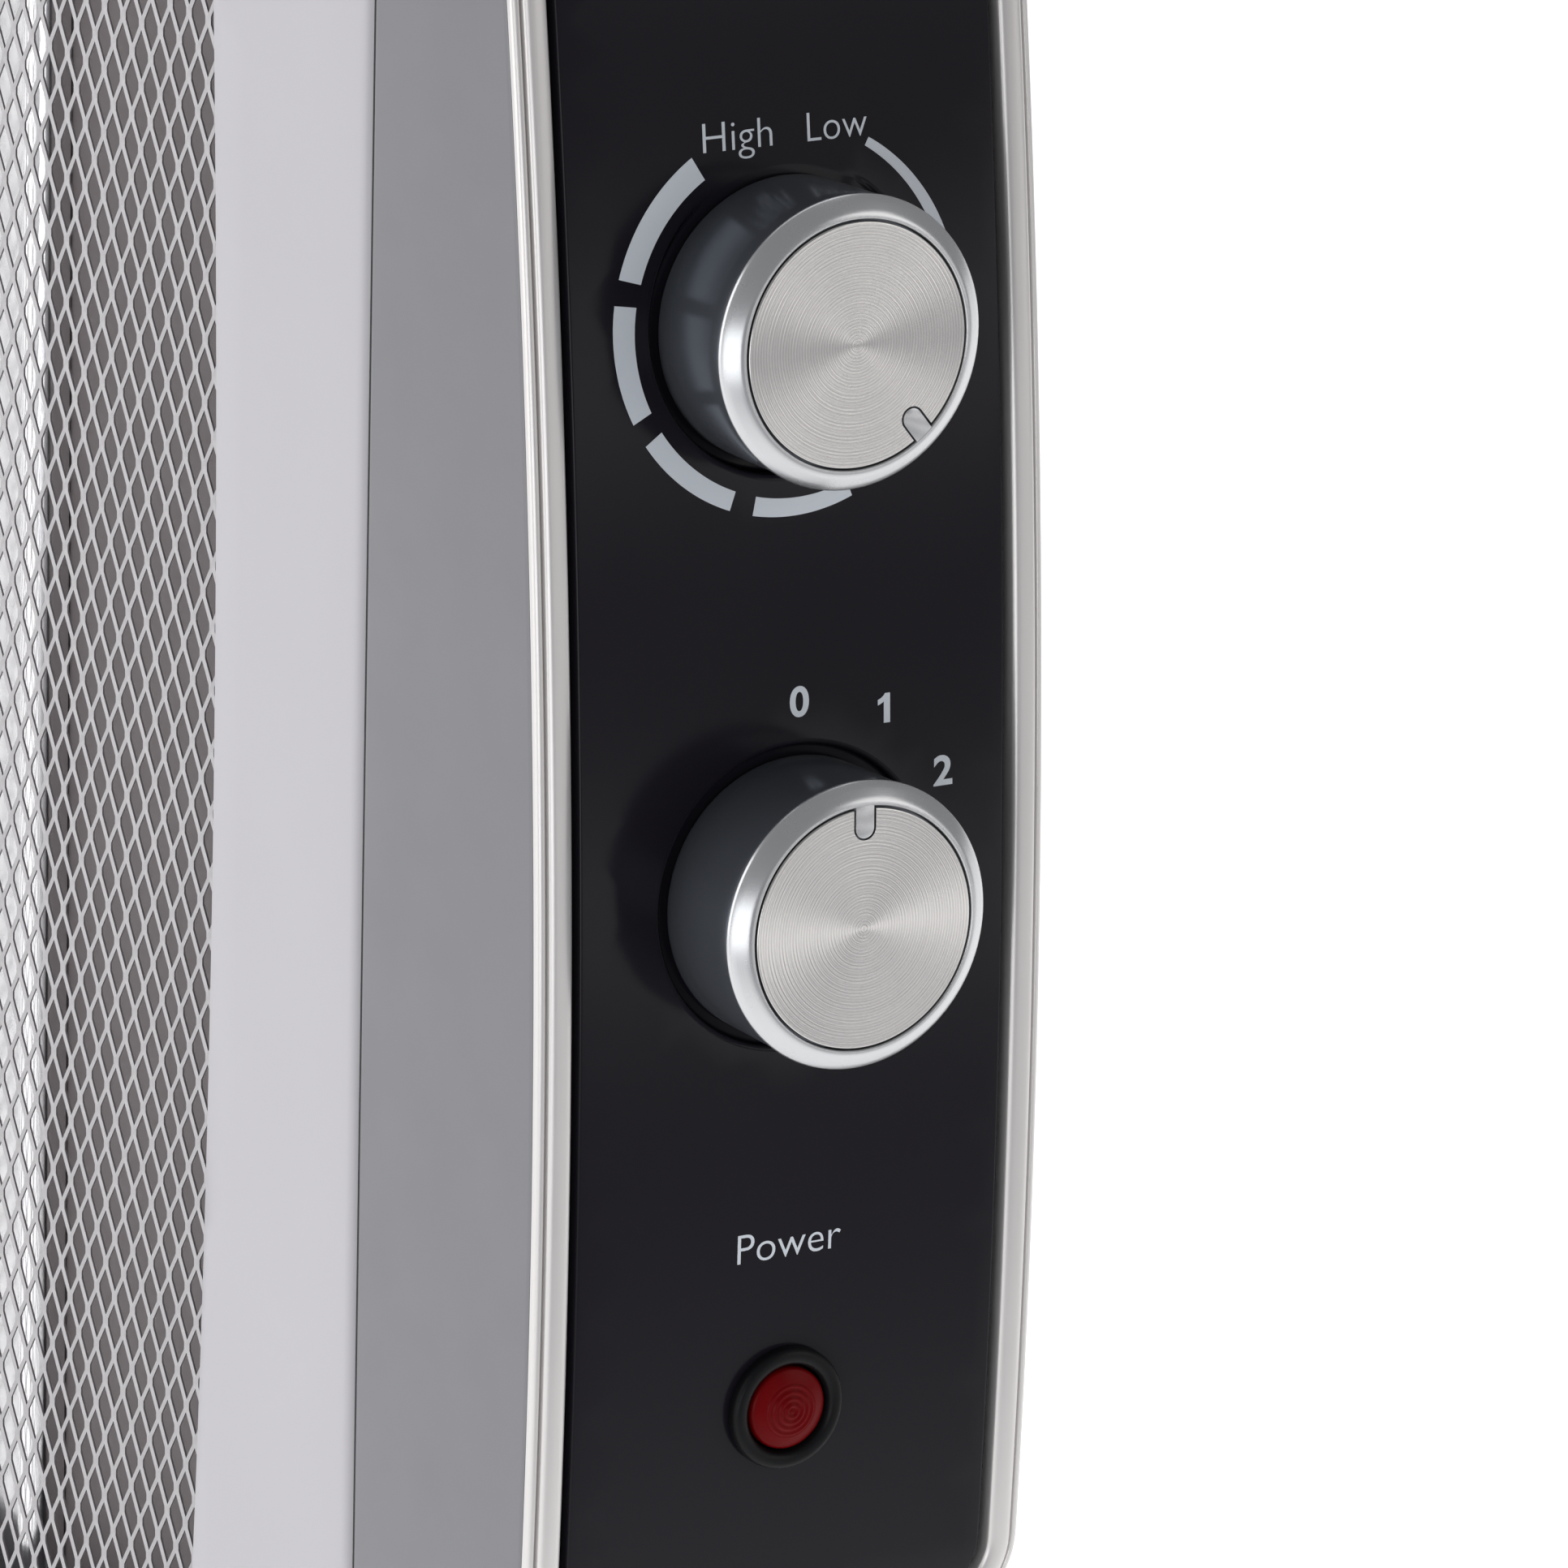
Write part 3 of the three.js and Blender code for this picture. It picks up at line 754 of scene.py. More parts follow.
# ------------------------------------------------------------------- end pieces
@dataclass
class EndCap:
    """A moulded end cap and the silver bezel round its end panel."""

    layout: Layout
    depth: float = 53.2
    skin: float = 2.5
    apron_inset: float = 1.0
    apron_overlap: float = 10.0
    apron_faces: tuple[float, float] = (-3.97, -6.4)
    # Insets and edges of the black strip of painted shade in the cap's joint.
    shadow_strip_insets: tuple[float, float] = (0.4, 3.6)
    shadow_strip_edges: tuple[float, float] = (0.3, -0.7)
    gland_radius: float = 7.2
    gland_depth: float = 12.0

    def shell(self) -> Patchwork:
        """The cap's side wall and the flange that carries the panel."""
        off, lip, rim = self.layout.off_face, self.layout.off_lip, self.layout.peak - self.depth
        brow = lip(-2.6)
        section = [
            (0.9, lambda z: rim), (0.3, lambda z: rim + 0.12), (0.06, lambda z: rim + 0.45),
            (0.0, lambda z: rim + 1.0), (0.0, lambda z: (rim + 1.0 + brow(z)) / 2), (0.0, brow),
            (0.03, lip(-2.0)), (0.16, lip(-1.72)), (0.45, lip(-1.62)), (1.0, lip(-1.62)), (1.0, off(-4.0)),
            (8.5, off(-4.0)), (8.5, off(-6.5)), (self.skin, off(-6.5)), (self.skin, lambda z: rim),
        ]
        return self.layout.ring(section, whole=True)

    def apron(self) -> Patchwork:
        """The cap's own end wall, below the end panel."""
        layout, work = self.layout, Patchwork()
        top = layout.loop_low + self.apron_overlap
        outline = [
            (y, z) for y, z in layout.outline(self.apron_inset, whole=True, side_steps=150) if z <= top
        ]
        rows = [[(layout.face(z, proud), y, z) for y, z in outline] for proud in self.apron_faces]
        work.grid(rows, round_=True)
        spots, triangles = fill(outline, [], 6.0)
        for proud in self.apron_faces:
            work.add([(layout.face(z, proud), y, z) for y, z in spots], triangles)
        return work

    def bezel(self) -> Patchwork:
        """A fine bead, a groove and a broad soft lip."""
        profile = [
            (0.02, -1.2), (0.03, -0.85), (0.14, -0.5), (0.34, -0.22), (0.6, -0.03),
            (0.88, 0.06), (1.12, 0.03), (1.3, -0.12), (1.42, -0.4), (1.5, -0.55), (1.58, -0.4),
            (1.66, -0.05), (1.78, 0.28), (2.0, 0.55), (2.35, 0.76), (2.8, 0.87), (3.4, 0.89),
            (4.2, 0.82), (4.8, 0.66),
            (5.2, 0.44), (5.42, 0.18), (5.5, -0.2), (5.5, -3.6), (1.15, -3.6),
        ]
        off, lip = self.layout.off_face, self.layout.off_lip
        section = [(inset, off(proud)) for inset, proud in profile]
        return self.layout.ring([(0.45, lip(-1.55)), (0.1, lip(-1.5)), *section, (1.15, lip(-1.55))])

    def shadow_strip(self) -> Patchwork:
        """A black strip in the joint with the casing: painted shade in place of the shadow gap there."""
        rim = self.layout.peak - self.depth
        near, far_shade = self.shadow_strip_insets
        front, back = (rim + edge for edge in self.shadow_strip_edges)
        corners = ((near, front), (near, back), (far_shade, back), (far_shade, front))
        return self.layout.ring([(inset, lambda z, x=x: x) for inset, x in corners], whole=True)

    def make(self) -> None:
        """Builds both ends."""
        middle = self.layout.middle
        for side in ("right", "left"):
            parts = self.shell(), self.bezel(), self.apron(), self.shadow_strip()
            if side == "left":
                parts = tuple(part.mirrored(0, middle) for part in parts)
            shell, bezel, apron, shadow_strip = parts
            # The black joint strip is painted shade where the casing passes under the cap's edge.
            seat(shadow_strip.build(f"cap_joint_shadow_{side}", LAMP_RIM), "heater", "black_plastic")
            seat(apron.build(f"cap_apron_{side}", CAP_PAINT), "heater", "cap_plastic")
            cap = shell.build(f"cap_shell_{side}", CAP_PAINT)
            if side == "right":
                low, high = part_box("cord_gland")
                centre = (low + high) / 2 / MM
                bore = Axis.across(centre.x, self.layout.half_thickness - self.gland_depth, centre.z)
                radius, length = self.gland_radius, 2 * self.gland_depth
                section = [(0, 0), (radius, 0), (radius, length), (0, length)]
                tool = bore.turned(section, 64).build("bore", CAP_PAINT)
                carve(cap, tool)
            seat(cap, "heater", "cap_plastic", f"end_cap_{side}")
            seat(bezel.build(f"bezel_trim_{side}", BEZEL_SILVER), "heater", "bezel", f"bezel_{side}")


@dataclass
class EndPanel:
    """The black bowed panel in each end, with the controls' wells in the right one."""

    layout: Layout
    knobs: Sequence[Axis]
    lamp_height: float
    edge: float = 6.85
    thickness: float = 3.6
    well_floor: float = -1.6
    cup_radius: float = 24.2
    cup_depth: float = -6.4
    shaft_radius: float = 3.7
    lamp_radius: float = 8.2
    blend_radius: float = 23.4
    spacing: float = 5.0
    steps: int = 96

    def on_face(self, axis: Axis, radius: float, angle: float, proud: float) -> float:
        """Height along a knob's axis at which a ray parallel to it meets the end face."""
        height = 0.0
        for _ in range(6):
            x, _, z = axis.at(radius, height, angle)
            height -= x - self.layout.face(z, proud)
        return height

    def well_rows(self, axis: Axis) -> list[list[Point]]:
        """Rings from the fascia's surface over the rounded rim and down to the shaft's hole."""
        rim = [
            (self.blend_radius, 0.0), (22.95, -0.03), (22.7, -0.12), (22.52, -0.28), (22.42, -0.5),
            (22.4, -0.8),
        ]
        foot = [
            (22.4, 0.5), (22.36, 0.25), (22.2, 0.08), (21.9, 0.0), (16.0, 0.0), (9.0, 0.0),
            (self.shaft_radius, 0.0),
        ]
        rows = []
        for radius, drop in rim:
            rows.append([self._rim_point(axis, radius, drop, angle) for angle in self.angles()])
        for radius, rise in foot:
            rows.append([self._foot_point(axis, radius, rise, angle) for angle in self.angles()])
        for radius, height in ((self.shaft_radius, self.cup_depth), (self.cup_radius, self.cup_depth)):
            rows.append([axis.at(radius, height, angle) for angle in self.angles()])
        rows.append([
            axis.at(self.cup_radius, self.on_face(axis, self.cup_radius, angle, -self.thickness), angle)
            for angle in self.angles()
        ])
        return rows

    def angles(self) -> list[float]:
        """The angles of a well's points."""
        return span(0, FULL_TURN, self.steps)[:-1]

    def _rim_point(self, axis: Axis, radius: float, drop: float, angle: float) -> Point:
        """A point on the rounded rim, never under the well's floor unless the face is."""
        surface = self.on_face(axis, radius, angle, 0.0)
        return axis.at(radius, max(surface + drop, min(surface, self.well_floor)), angle)

    def _foot_point(self, axis: Axis, radius: float, rise: float, angle: float) -> Point:
        """A point on the well's floor, or on the face where the floor would stand out of it."""
        surface = self.on_face(axis, radius, angle, 0.0)
        return axis.at(radius, min(surface, self.well_floor + rise), angle)

    def panel(self, with_controls: bool) -> Patchwork:
        """The whole panel as a closed shell."""
        layout, work = self.layout, Patchwork()
        edge = self.edge
        lip = [(edge + 0.55, 0.0), (edge + 0.3, -0.05), (edge + 0.1, -0.22), (edge, -0.5)]
        rows = [
            [(layout.face(z, proud), y, z) for y, z in layout.outline(inset)]
            for inset, proud in (*lip, (edge, -self.thickness))
        ]
        work.grid(rows, round_=True)
        front_holes, back_holes = [], []
        if with_controls:
            for axis in self.knobs:
                well = self.well_rows(axis)
                work.grid(well, round_=True)
                front_holes.append([(y, z) for _, y, z in well[0]])
                back_holes.append([(y, z) for _, y, z in well[-1]])
            lamp = arc((0.0, self.lamp_height), self.lamp_radius, 0, FULL_TURN, self.steps)[:-1]
            rows = [[(layout.face(z, proud), y, z) for y, z in lamp] for proud in (0, -self.thickness)]
            work.grid(rows, round_=True)
            front_holes.append(lamp)
            back_holes.append(lamp)
        sheets = ((lip[0][0], 0.0, front_holes), (edge, -self.thickness, back_holes))
        for inset, proud, holes in sheets:
            spots, triangles = fill(layout.outline(inset), holes, self.spacing)
            work.add([(layout.face(z, proud), y, z) for y, z in spots], triangles)
        return work

    def make(self) -> None:
        """Builds the fascia and the plain panel of the other end."""
        seat(self.panel(True).build("fascia", FASCIA_BLACK), "heater", "fascia_gloss", "fascia_panel")
        plain = self.panel(False).mirrored(0, self.layout.middle)
        seat(plain.build("plain_end_panel", FASCIA_BLACK), "heater", "fascia_gloss", "end_panel_left")


@dataclass
class DialPrint:
    """The printed arcs, words and figures on the fascia."""

    layout: Layout
    thermostat: Axis
    power: Axis
    ring_radius: float = 28.6
    ink: float = 0.04
    root: float = -0.02
    arcs: tuple[tuple[float, float, float, float], ...] = (
        (-31.0, -72.8, 3.9, 3.7), (-80.3, -116.0, 3.6, 3.3), (-123.6, -158.9, 3.2, 2.9),
        (-166.8, -200.6, 2.8, 2.4), (-208.0, -243.0, 2.3, 2.0), (-250.5, -282.0, 1.9, 1.6),
        (-289.4, -329.5, 1.9, 1.35),
    )

    def on_face(self, axis: Axis, right: float, above: float, proud: float) -> Point:
        """A point of the flat artwork laid on the fascia round a knob's axis."""
        slope = (axis.origin.z - self.layout.bow_height) / self.layout.bow_radius
        z = axis.origin.z + above / math.hypot(1.0, slope)
        return self.layout.face(z, proud), right, z

    def arc_band(self, work: Patchwork, start: float, stop: float, first: float, last: float) -> None:
        """One segment of the dial ring, as a closed sliver of ink."""
        steps = 24
        rows = []
        for step in range(steps + 1):
            share = step / steps
            angle = math.radians(start + (stop - start) * share)
            inner = self.ring_radius - (first + (last - first) * share)
            outer, ink, root = self.ring_radius, self.ink, self.root
            across = [(outer, root), (outer, ink), (inner, ink), (inner, root)]
            rows.append([
                self.on_face(self.thermostat, r * math.sin(angle), r * math.cos(angle), proud)
                for r, proud in across
            ])
        work.grid(rows, round_=True)
        work.cap(rows[0])
        work.cap(rows[-1])

    def word(self, work: Patchwork, text: str, axis: Axis, left: float, base: float, width: float,
             height: float, weight: float) -> None:
        """Sets a word in ink.

        Args:
            work: the patchwork that takes its faces.
            text: what it says.
            axis: the knob that its place is measured from.
            left: the left edge, to the right of the axis.
            base: the baseline, above the axis.
            width: the word's whole width.
            height: the height of its tallest letter.
            weight: how much the strokes swell, as a share of the letter height.
        """
        curve = bpy.data.curves.new("word", "FONT")
        curve.body, curve.size, curve.offset = text, 1.0, weight
        curve.extrude, curve.resolution_u = 0.05, 6
        letters = bpy.data.objects.new("word", curve)
        bpy.context.scene.collection.objects.link(letters)
        graph = bpy.context.evaluated_depsgraph_get()
        mesh = bpy.data.meshes.new_from_object(letters.evaluated_get(graph))
        flat = [vertex.co.copy() for vertex in mesh.vertices]
        start, end = min(p.x for p in flat), max(p.x for p in flat)
        tall = max(p.y for p in flat)
        points = []
        for spot in flat:
            right = left + (spot.x - start) / (end - start) * width
            proud = self.ink if spot.z > 0 else self.root
            points.append(self.on_face(axis, right, base + spot.y / tall * height, proud))
        work.add(points, [tuple(face.vertices) for face in mesh.polygons])
        bpy.data.objects.remove(letters)
        bpy.data.meshes.remove(mesh)
        bpy.data.curves.remove(curve)

    def figure_one(self, work: Patchwork, axis: Axis, left: float, base: float) -> None:
        """Draws a bold 1: a stem with a short flag."""
        outline = [
            (2.05, 0.0), (2.05, 4.4), (1.2, 4.4), (0.95, 4.05), (0.55, 3.75), (0.0, 3.5), (0.0, 2.7),
            (0.55, 2.9), (1.0, 3.2), (1.0, 0.0),
        ]
        rows = [
            [self.on_face(axis, left + right, base + above, proud) for right, above in outline]
            for proud in (self.root, self.ink)
        ]
        work.grid(rows, round_=True)
        work.cap(rows[0])
        work.cap(rows[1])

    def make(self) -> None:
        """Builds all the print as one piece."""
        work = Patchwork()
        for segment in self.arcs:
            self.arc_band(work, *segment)
        self.word(work, "High", self.thermostat, -12.8, 24.9, 11.4, 4.2, -0.012)
        self.word(work, "Low", self.thermostat, 4.4, 24.9, 9.9, 4.1, -0.012)
        self.word(work, "Power", self.power, -8.6, -55.0, 17.5, 4.5, -0.01)
        self.word(work, "0", self.power, -0.75, 26.7, 3.2, 4.4, 0.024)
        self.figure_one(work, self.power, 14.05, 23.8)
        self.word(work, "2", self.power, 23.5, 13.3, 3.2, 4.4, 0.024)
        seat(work.build("dial_print", PRINT_GREY, merge=0.0005), "heater", "bezel")


# ------------------------------------------------------------------- the knobs
@dataclass
class Knob:
    """A knob: dark skirt, silver ring and a turned disc with a U-shaped index mark."""

    name: str
    axis: Axis
    pointer: float
    disc_radius: float = 17.76
    groove_pitch: float = 0.58
    groove_depth: float = 0.044
    mark_half: float = 1.55
    mark_centre: float = 14.9
    mark_gap: float = 0.28

    def skirt(self) -> Patchwork:
        """The dark skirt, slightly flared, open behind round its boss."""
        return self.axis.turned([
            (3.06, 12.0), (3.06, 1.0), (6.0, 1.0), (6.0, 14.2), (19.0, 14.2), (19.0, -1.0), (20.5, -1.0),
            (20.72, -0.9), (20.8, -0.65), (20.86, 2.0), (20.93, 6.0), (21.0, 10.0), (21.05, 13.5),
            (21.08, 15.9), (21.0, 16.3), (20.8, 16.45), (17.95, 16.45), (17.95, 18.3), (10.0, 18.3),
            (3.06, 18.3),
        ])

    def ring(self) -> Patchwork:
        """The silver ring with a broad chamfer round the disc's seat."""
        return self.axis.turned([
            (18.05, 16.7), (20.6, 16.7), (21.05, 16.74), (21.3, 16.86), (21.4, 17.05), (21.36, 17.25),
            (21.2, 17.5), (20.4, 18.18), (19.5, 18.9), (19.1, 19.18), (18.75, 19.36), (18.4, 19.44),
            (18.22, 19.42), (18.1, 19.3), (18.05, 19.1), (18.05, 18.3),
        ])

    def disc(self) -> Patchwork:
        """The disc, with concentric grooves in its face."""
        face = 19.4
        profile: list[Spot] = [(0.0, 18.42), (self.disc_radius - 0.1, 18.42), (self.disc_radius, 18.6)]
        profile += [(self.disc_radius, face - 0.22), (self.disc_radius - 0.06, face - 0.06)]
        outer = self.disc_radius - 0.22
        count = int(outer / self.groove_pitch)
        per_groove = 4
        for index in range(count * per_groove):
            radius = outer - index * self.groove_pitch / per_groove
            wave = math.cos(index / per_groove * FULL_TURN)
            profile.append((radius, face - self.groove_depth * (0.5 - 0.5 * wave)))
        profile.append((0.0, face - self.groove_depth))
        return self.axis.turned(profile)

    def mark(self, name: str, extra: float, low: float, high: float) -> bpy.types.Object:
        """A U-shaped block that points at the index mark's place."""
        half = self.mark_half + extra
        outline = [(half, 18.3 + 4 * extra), (-half, 18.3 + 4 * extra)]
        outline += arc((0.0, self.mark_centre), half, math.pi, 2 * math.pi, 24)
        turn = math.radians(self.pointer)
        work = Patchwork()
        rows = [
            [self.axis.at(math.hypot(u, v), height, math.atan2(u, v) + turn) for u, v in outline]
            for height in (low, high)
        ]
        work.grid(rows, round_=True)
        work.cap(rows[0])
        work.cap(rows[1])
        return work.build(name, ring_finish(self.axis))

    def make(self) -> None:
        """Builds the knob's pieces."""
        body = f"{self.name}_knob"
        skirt = self.skirt().build(f"{body}_skirt_shell", KNOB_DARK)
        seat(skirt, body, "knob_dark", f"knob_{self.name}_skirt")
        ring = self.ring().build(f"{body}_rim", ring_finish(self.axis))
        seat(ring, body, "knob_ring", f"knob_{self.name}_ring")
        tongue = self.mark(f"{body}_index", 0.0, 18.32, 19.38)
        round_edges(tongue, 0.12)
        seat(settle(tongue), body, "knob_ring")
        disc = self.disc().build(f"{body}_face", disc_finish(self.name, self.axis), sharp=60.0)
        carve(disc, self.mark("cutter", self.mark_gap, 18.0, 20.0))
        crisp(disc.data, 60.0)
        seat(disc, body, "knob_disc", f"knob_{self.name}_disc")


def disc_finish(name: str, axis: Axis) -> TurnedFinish:
    """The turned aluminium of a knob's disc."""
    return TurnedFinish(
        f"turned_disc_{name}", (0.66, 0.645, 0.63), (0.56, 0.55, 0.54), 0.2,
        polish_swing=0.02, metallic=1.0, depth=0.002, drift_size=9,
        centre=tuple(axis.origin * MM), axis=tuple(axis.out), ring_pitch=0.45,
    )


def ring_finish(axis: Axis) -> TurnedFinish:
    """The satin silver of a knob's ring."""
    return TurnedFinish(
        f"ring_silver_{round(axis.origin.z)}", (0.54, 0.545, 0.555), (0.525, 0.53, 0.54), 0.27,
        polish_swing=0.015, metallic=0.9, depth=0.001, drift_size=9,
        centre=tuple(axis.origin * MM), axis=tuple(axis.out), ring_pitch=0.3,
    )


@dataclass
class PilotLamp:
    """The pilot lamp's black ring and ridged red lens."""

    axis: Axis
    dome_radius: float = 5.9
    dome_rise: float = 1.35
    ridge_pitch: float = 0.95
    ridge_height: float = 0.11
    ridge_reach: float = 4.2

    def make(self) -> None:
        """Builds the ring and the lens."""
        ring = self.axis.turned([
            (6.6, -9.0), (8.0, -9.0), (8.0, 0.3), (9.2, 0.3), (9.36, 0.42), (9.4, 0.65), (9.38, 1.1),
            (9.28, 1.5), (9.05, 1.9), (8.7, 2.12), (8.3, 2.2), (7.7, 2.16), (7.25, 1.98), (6.95, 1.6),
            (6.75, 1.1), (6.62, 0.4),
        ], 96)
        seat(ring.build("pilot_lamp_ring", LAMP_RIM), "heater", "black_plastic", "lamp_bezel")
        profile: list[Spot] = [(0.0, -7.0), (6.3, -7.0), (6.3, 0.9), (6.22, 1.3), (6.0, 1.55)]
        steps = 60
        for index in range(1, steps):
            radius = self.dome_radius * (1 - index / steps)
            swell = 1.6 + self.dome_rise * (1 - (radius / self.dome_radius) ** 2)
            ridge = self.ridge_height * math.cos(radius * FULL_TURN / self.ridge_pitch)
            ridge = ridge if radius < self.ridge_reach else 0.0
            profile.append((radius, swell + ridge))
        profile.append((0.0, 3.0))
        lens = self.axis.turned(profile, 96)
        seat(lens.build("pilot_lamp_lens", LAMP_RED, sharp=70.0), "heater", "lamp_red", "lamp_lens")


# -------------------------------------------------------- casing and its grille
@dataclass
class Casing:
    """The painted sheet steel front and back, each with a grille window."""

    layout: Layout
    half: float = 41.0
    sheet: float = 1.2
    roll: float = 2.0
    lap: float = 4.6
    groove: float = 3.4
    seam: float = -20.0
    window_in: float = 103.0
    window_low: float = 27.0
    window_high: float = 34.0
    window_waist: float = 60.0
    window_radius: float = 2222.0
    window_corner: float = 12.0
    grid_step: float = 7.0
    dip_depth: float = 0.75
    dip_reach: float = 18.0
    bend_steps: int = 12
    lap_steps: int = 3

    def __post_init__(self) -> None:
        """Reads the casing's box."""
        low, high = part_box("front_casing")
        self.x0, self.x1 = low.x / MM, high.x / MM
        self.z0, self.z1 = low.z / MM, high.z / MM
        self.corner = self.layout.corner - 1.5

    def window(self, inset: float = 0.0) -> list[Spot]:
        """The window's outline with bowed sides, as (x, z)."""
        layout = self.layout
        low, high = layout.low + self.window_low + inset, layout.high - self.window_high - inset
        middle = layout.bow_height + self.window_waist
        half = (layout.peak - layout.middle) - self.window_in - inset
        radius = self.window_corner - inset

        def side(z: float) -> float:
            """Half the window's width at a height."""
            return half - (z - middle) ** 2 / (2 * self.window_radius)

        upright = [(side(z), z) for z in span(low + radius, high - radius, 56)]
        top = arc((side(high - radius) - radius, high - radius), radius, 0, QUARTER, 10)[1:]
        bottom = arc((side(low + radius) - radius, low + radius), radius, -QUARTER, 0, 10)[:-1]
        run_top = [(x, high) for x in span(top[-1][0], -top[-1][0], 60)[1:-1]]
        run_bottom = [(x, low) for x in span(-bottom[0][0], bottom[0][0], 60)[1:-1]]
        right = bottom + upright + top
        left = [(-x, z) for x, z in reversed(right)]
        return [(x + self.layout.middle, z) for x, z in right + run_top + left + run_bottom]

    def profile(self, inset: float, heights: Sequence[float]) -> list[Spot]:
        """Half the casing's section as (y, z), from the top seam over the front to the bottom seam."""
        radius = self.corner - inset
        front, low, high = -self.half + inset, self.z0 + inset, self.z1 - inset
        spots = [(y, high) for y in span(self.seam, front + radius, self.lap_steps)]
        spots += arc((front + radius, high - radius), radius, QUARTER, math.pi, self.bend_steps)[1:]
        spots += [(front, z) for z in heights[1:-1]]
        spots += arc((front + radius, low + radius), radius, math.pi, 3 * QUARTER, self.bend_steps)
        return spots + [(y, low) for y in span(front + radius, self.seam, self.lap_steps)[1:]]

    def dip(self, x: float) -> float:
        """How far the sheet falls away in a soft bend towards an end cap."""
        short = max(0.0, self.x1 - self.layout.middle - abs(x - self.layout.middle))
        return self.dip_depth * max(0.0, 1 - short / self.dip_reach) ** 2

    def dipped(self, x: float, y: float, z: float) -> Point:
        """A point of the sheet, moved in by the dip; the top and bottom seams stay in line."""
        return x, y + self.dip(x) * min(1.0, (self.seam - y) / (self.half + self.seam)), z

    def shell(self) -> Patchwork:
        """The outer face of the front half."""
        work = Patchwork()
        inner_low, inner_high = self.z0 + self.corner, self.z1 - self.corner
        heights = span(inner_high, inner_low, 54)
        middle, stop = self.layout.middle, self.x1 - self.roll - self.lap
        start = 2 * middle - stop
        shorts = (13.5, 11.5, 9.5, 7.5, 5.8, 4.6, 3.8, 3.2, 2.6, 2.0, 1.5, 1.0, 0.5, 0)
        edge_run = [stop - short for short in shorts]
        inner = edge_run[0]
        across = span(2 * middle - inner, inner, 76)

        def wrap(x: float) -> list[Point]:
            """The whole section at one place along the heater."""
            return [self.dipped(x, y, z) for y, z in self.profile(0.0, heights)]

        top_count = self.lap_steps + 1 + self.bend_steps
        wraps = [wrap(x) for x in across]
        work.grid([row[:top_count] for row in wraps])
        work.grid([row[-top_count:] for row in wraps])
        work.grid([wrap(x) for x in edge_run])
        work.grid([wrap(2 * middle - x) for x in edge_run])
        for edge, towards in ((start, -1.0), (stop, 1.0)):
            rows = []
            for angle in span(0, QUARTER * 0.82, 7):
                inset = self.roll * (1 - math.cos(angle))
                x = edge + towards * self.roll * math.sin(angle)
                rows.append([self.dipped(x, y, z) for y, z in self.profile(inset, heights)])
            for reach in (self.roll, self.roll + self.lap):
                x = edge + towards * reach
                rows.append([self.dipped(x, y, z) for y, z in self.profile(self.groove, heights)])
            work.grid(rows)
        outline = [(x, inner_low) for x in across[:-1]] + [(across[-1], z) for z in reversed(heights[1:])]
        outline += [(x, inner_high) for x in reversed(across[1:])] + [(across[0], z) for z in heights[:-1]]
        spots, triangles = fill(outline, [self.window()], self.grid_step)
        work.add([(x, -self.half, z) for x, z in spots], triangles)
        return work

    def make(self) -> None:
        """Builds the front and the rear casing."""
        for side in ("front", "rear"):
            shell = self.shell()
            if side == "rear":
                shell = shell.mirrored(1, 0.0)
            piece = shell.build(f"casing_sheet_{side}", CASING_PAINT)
            face_out(piece, -1.0 if side == "front" else 1.0)
            thicken(piece, self.sheet)
            round_edges(piece, 0.3, 2, 60.0)
            seat(settle(piece), "heater", "casing_paint", f"{side}_casing")


def face_out(piece: bpy.types.Object, towards: float) -> None:
    """Turns an open sheet so that its faces look to -Y (towards -1) or +Y (towards 1)."""
    lean = sum(face.normal.y * face.area for face in piece.data.polygons)
    if lean * towards < 0:
        piece.data.flip_normals()


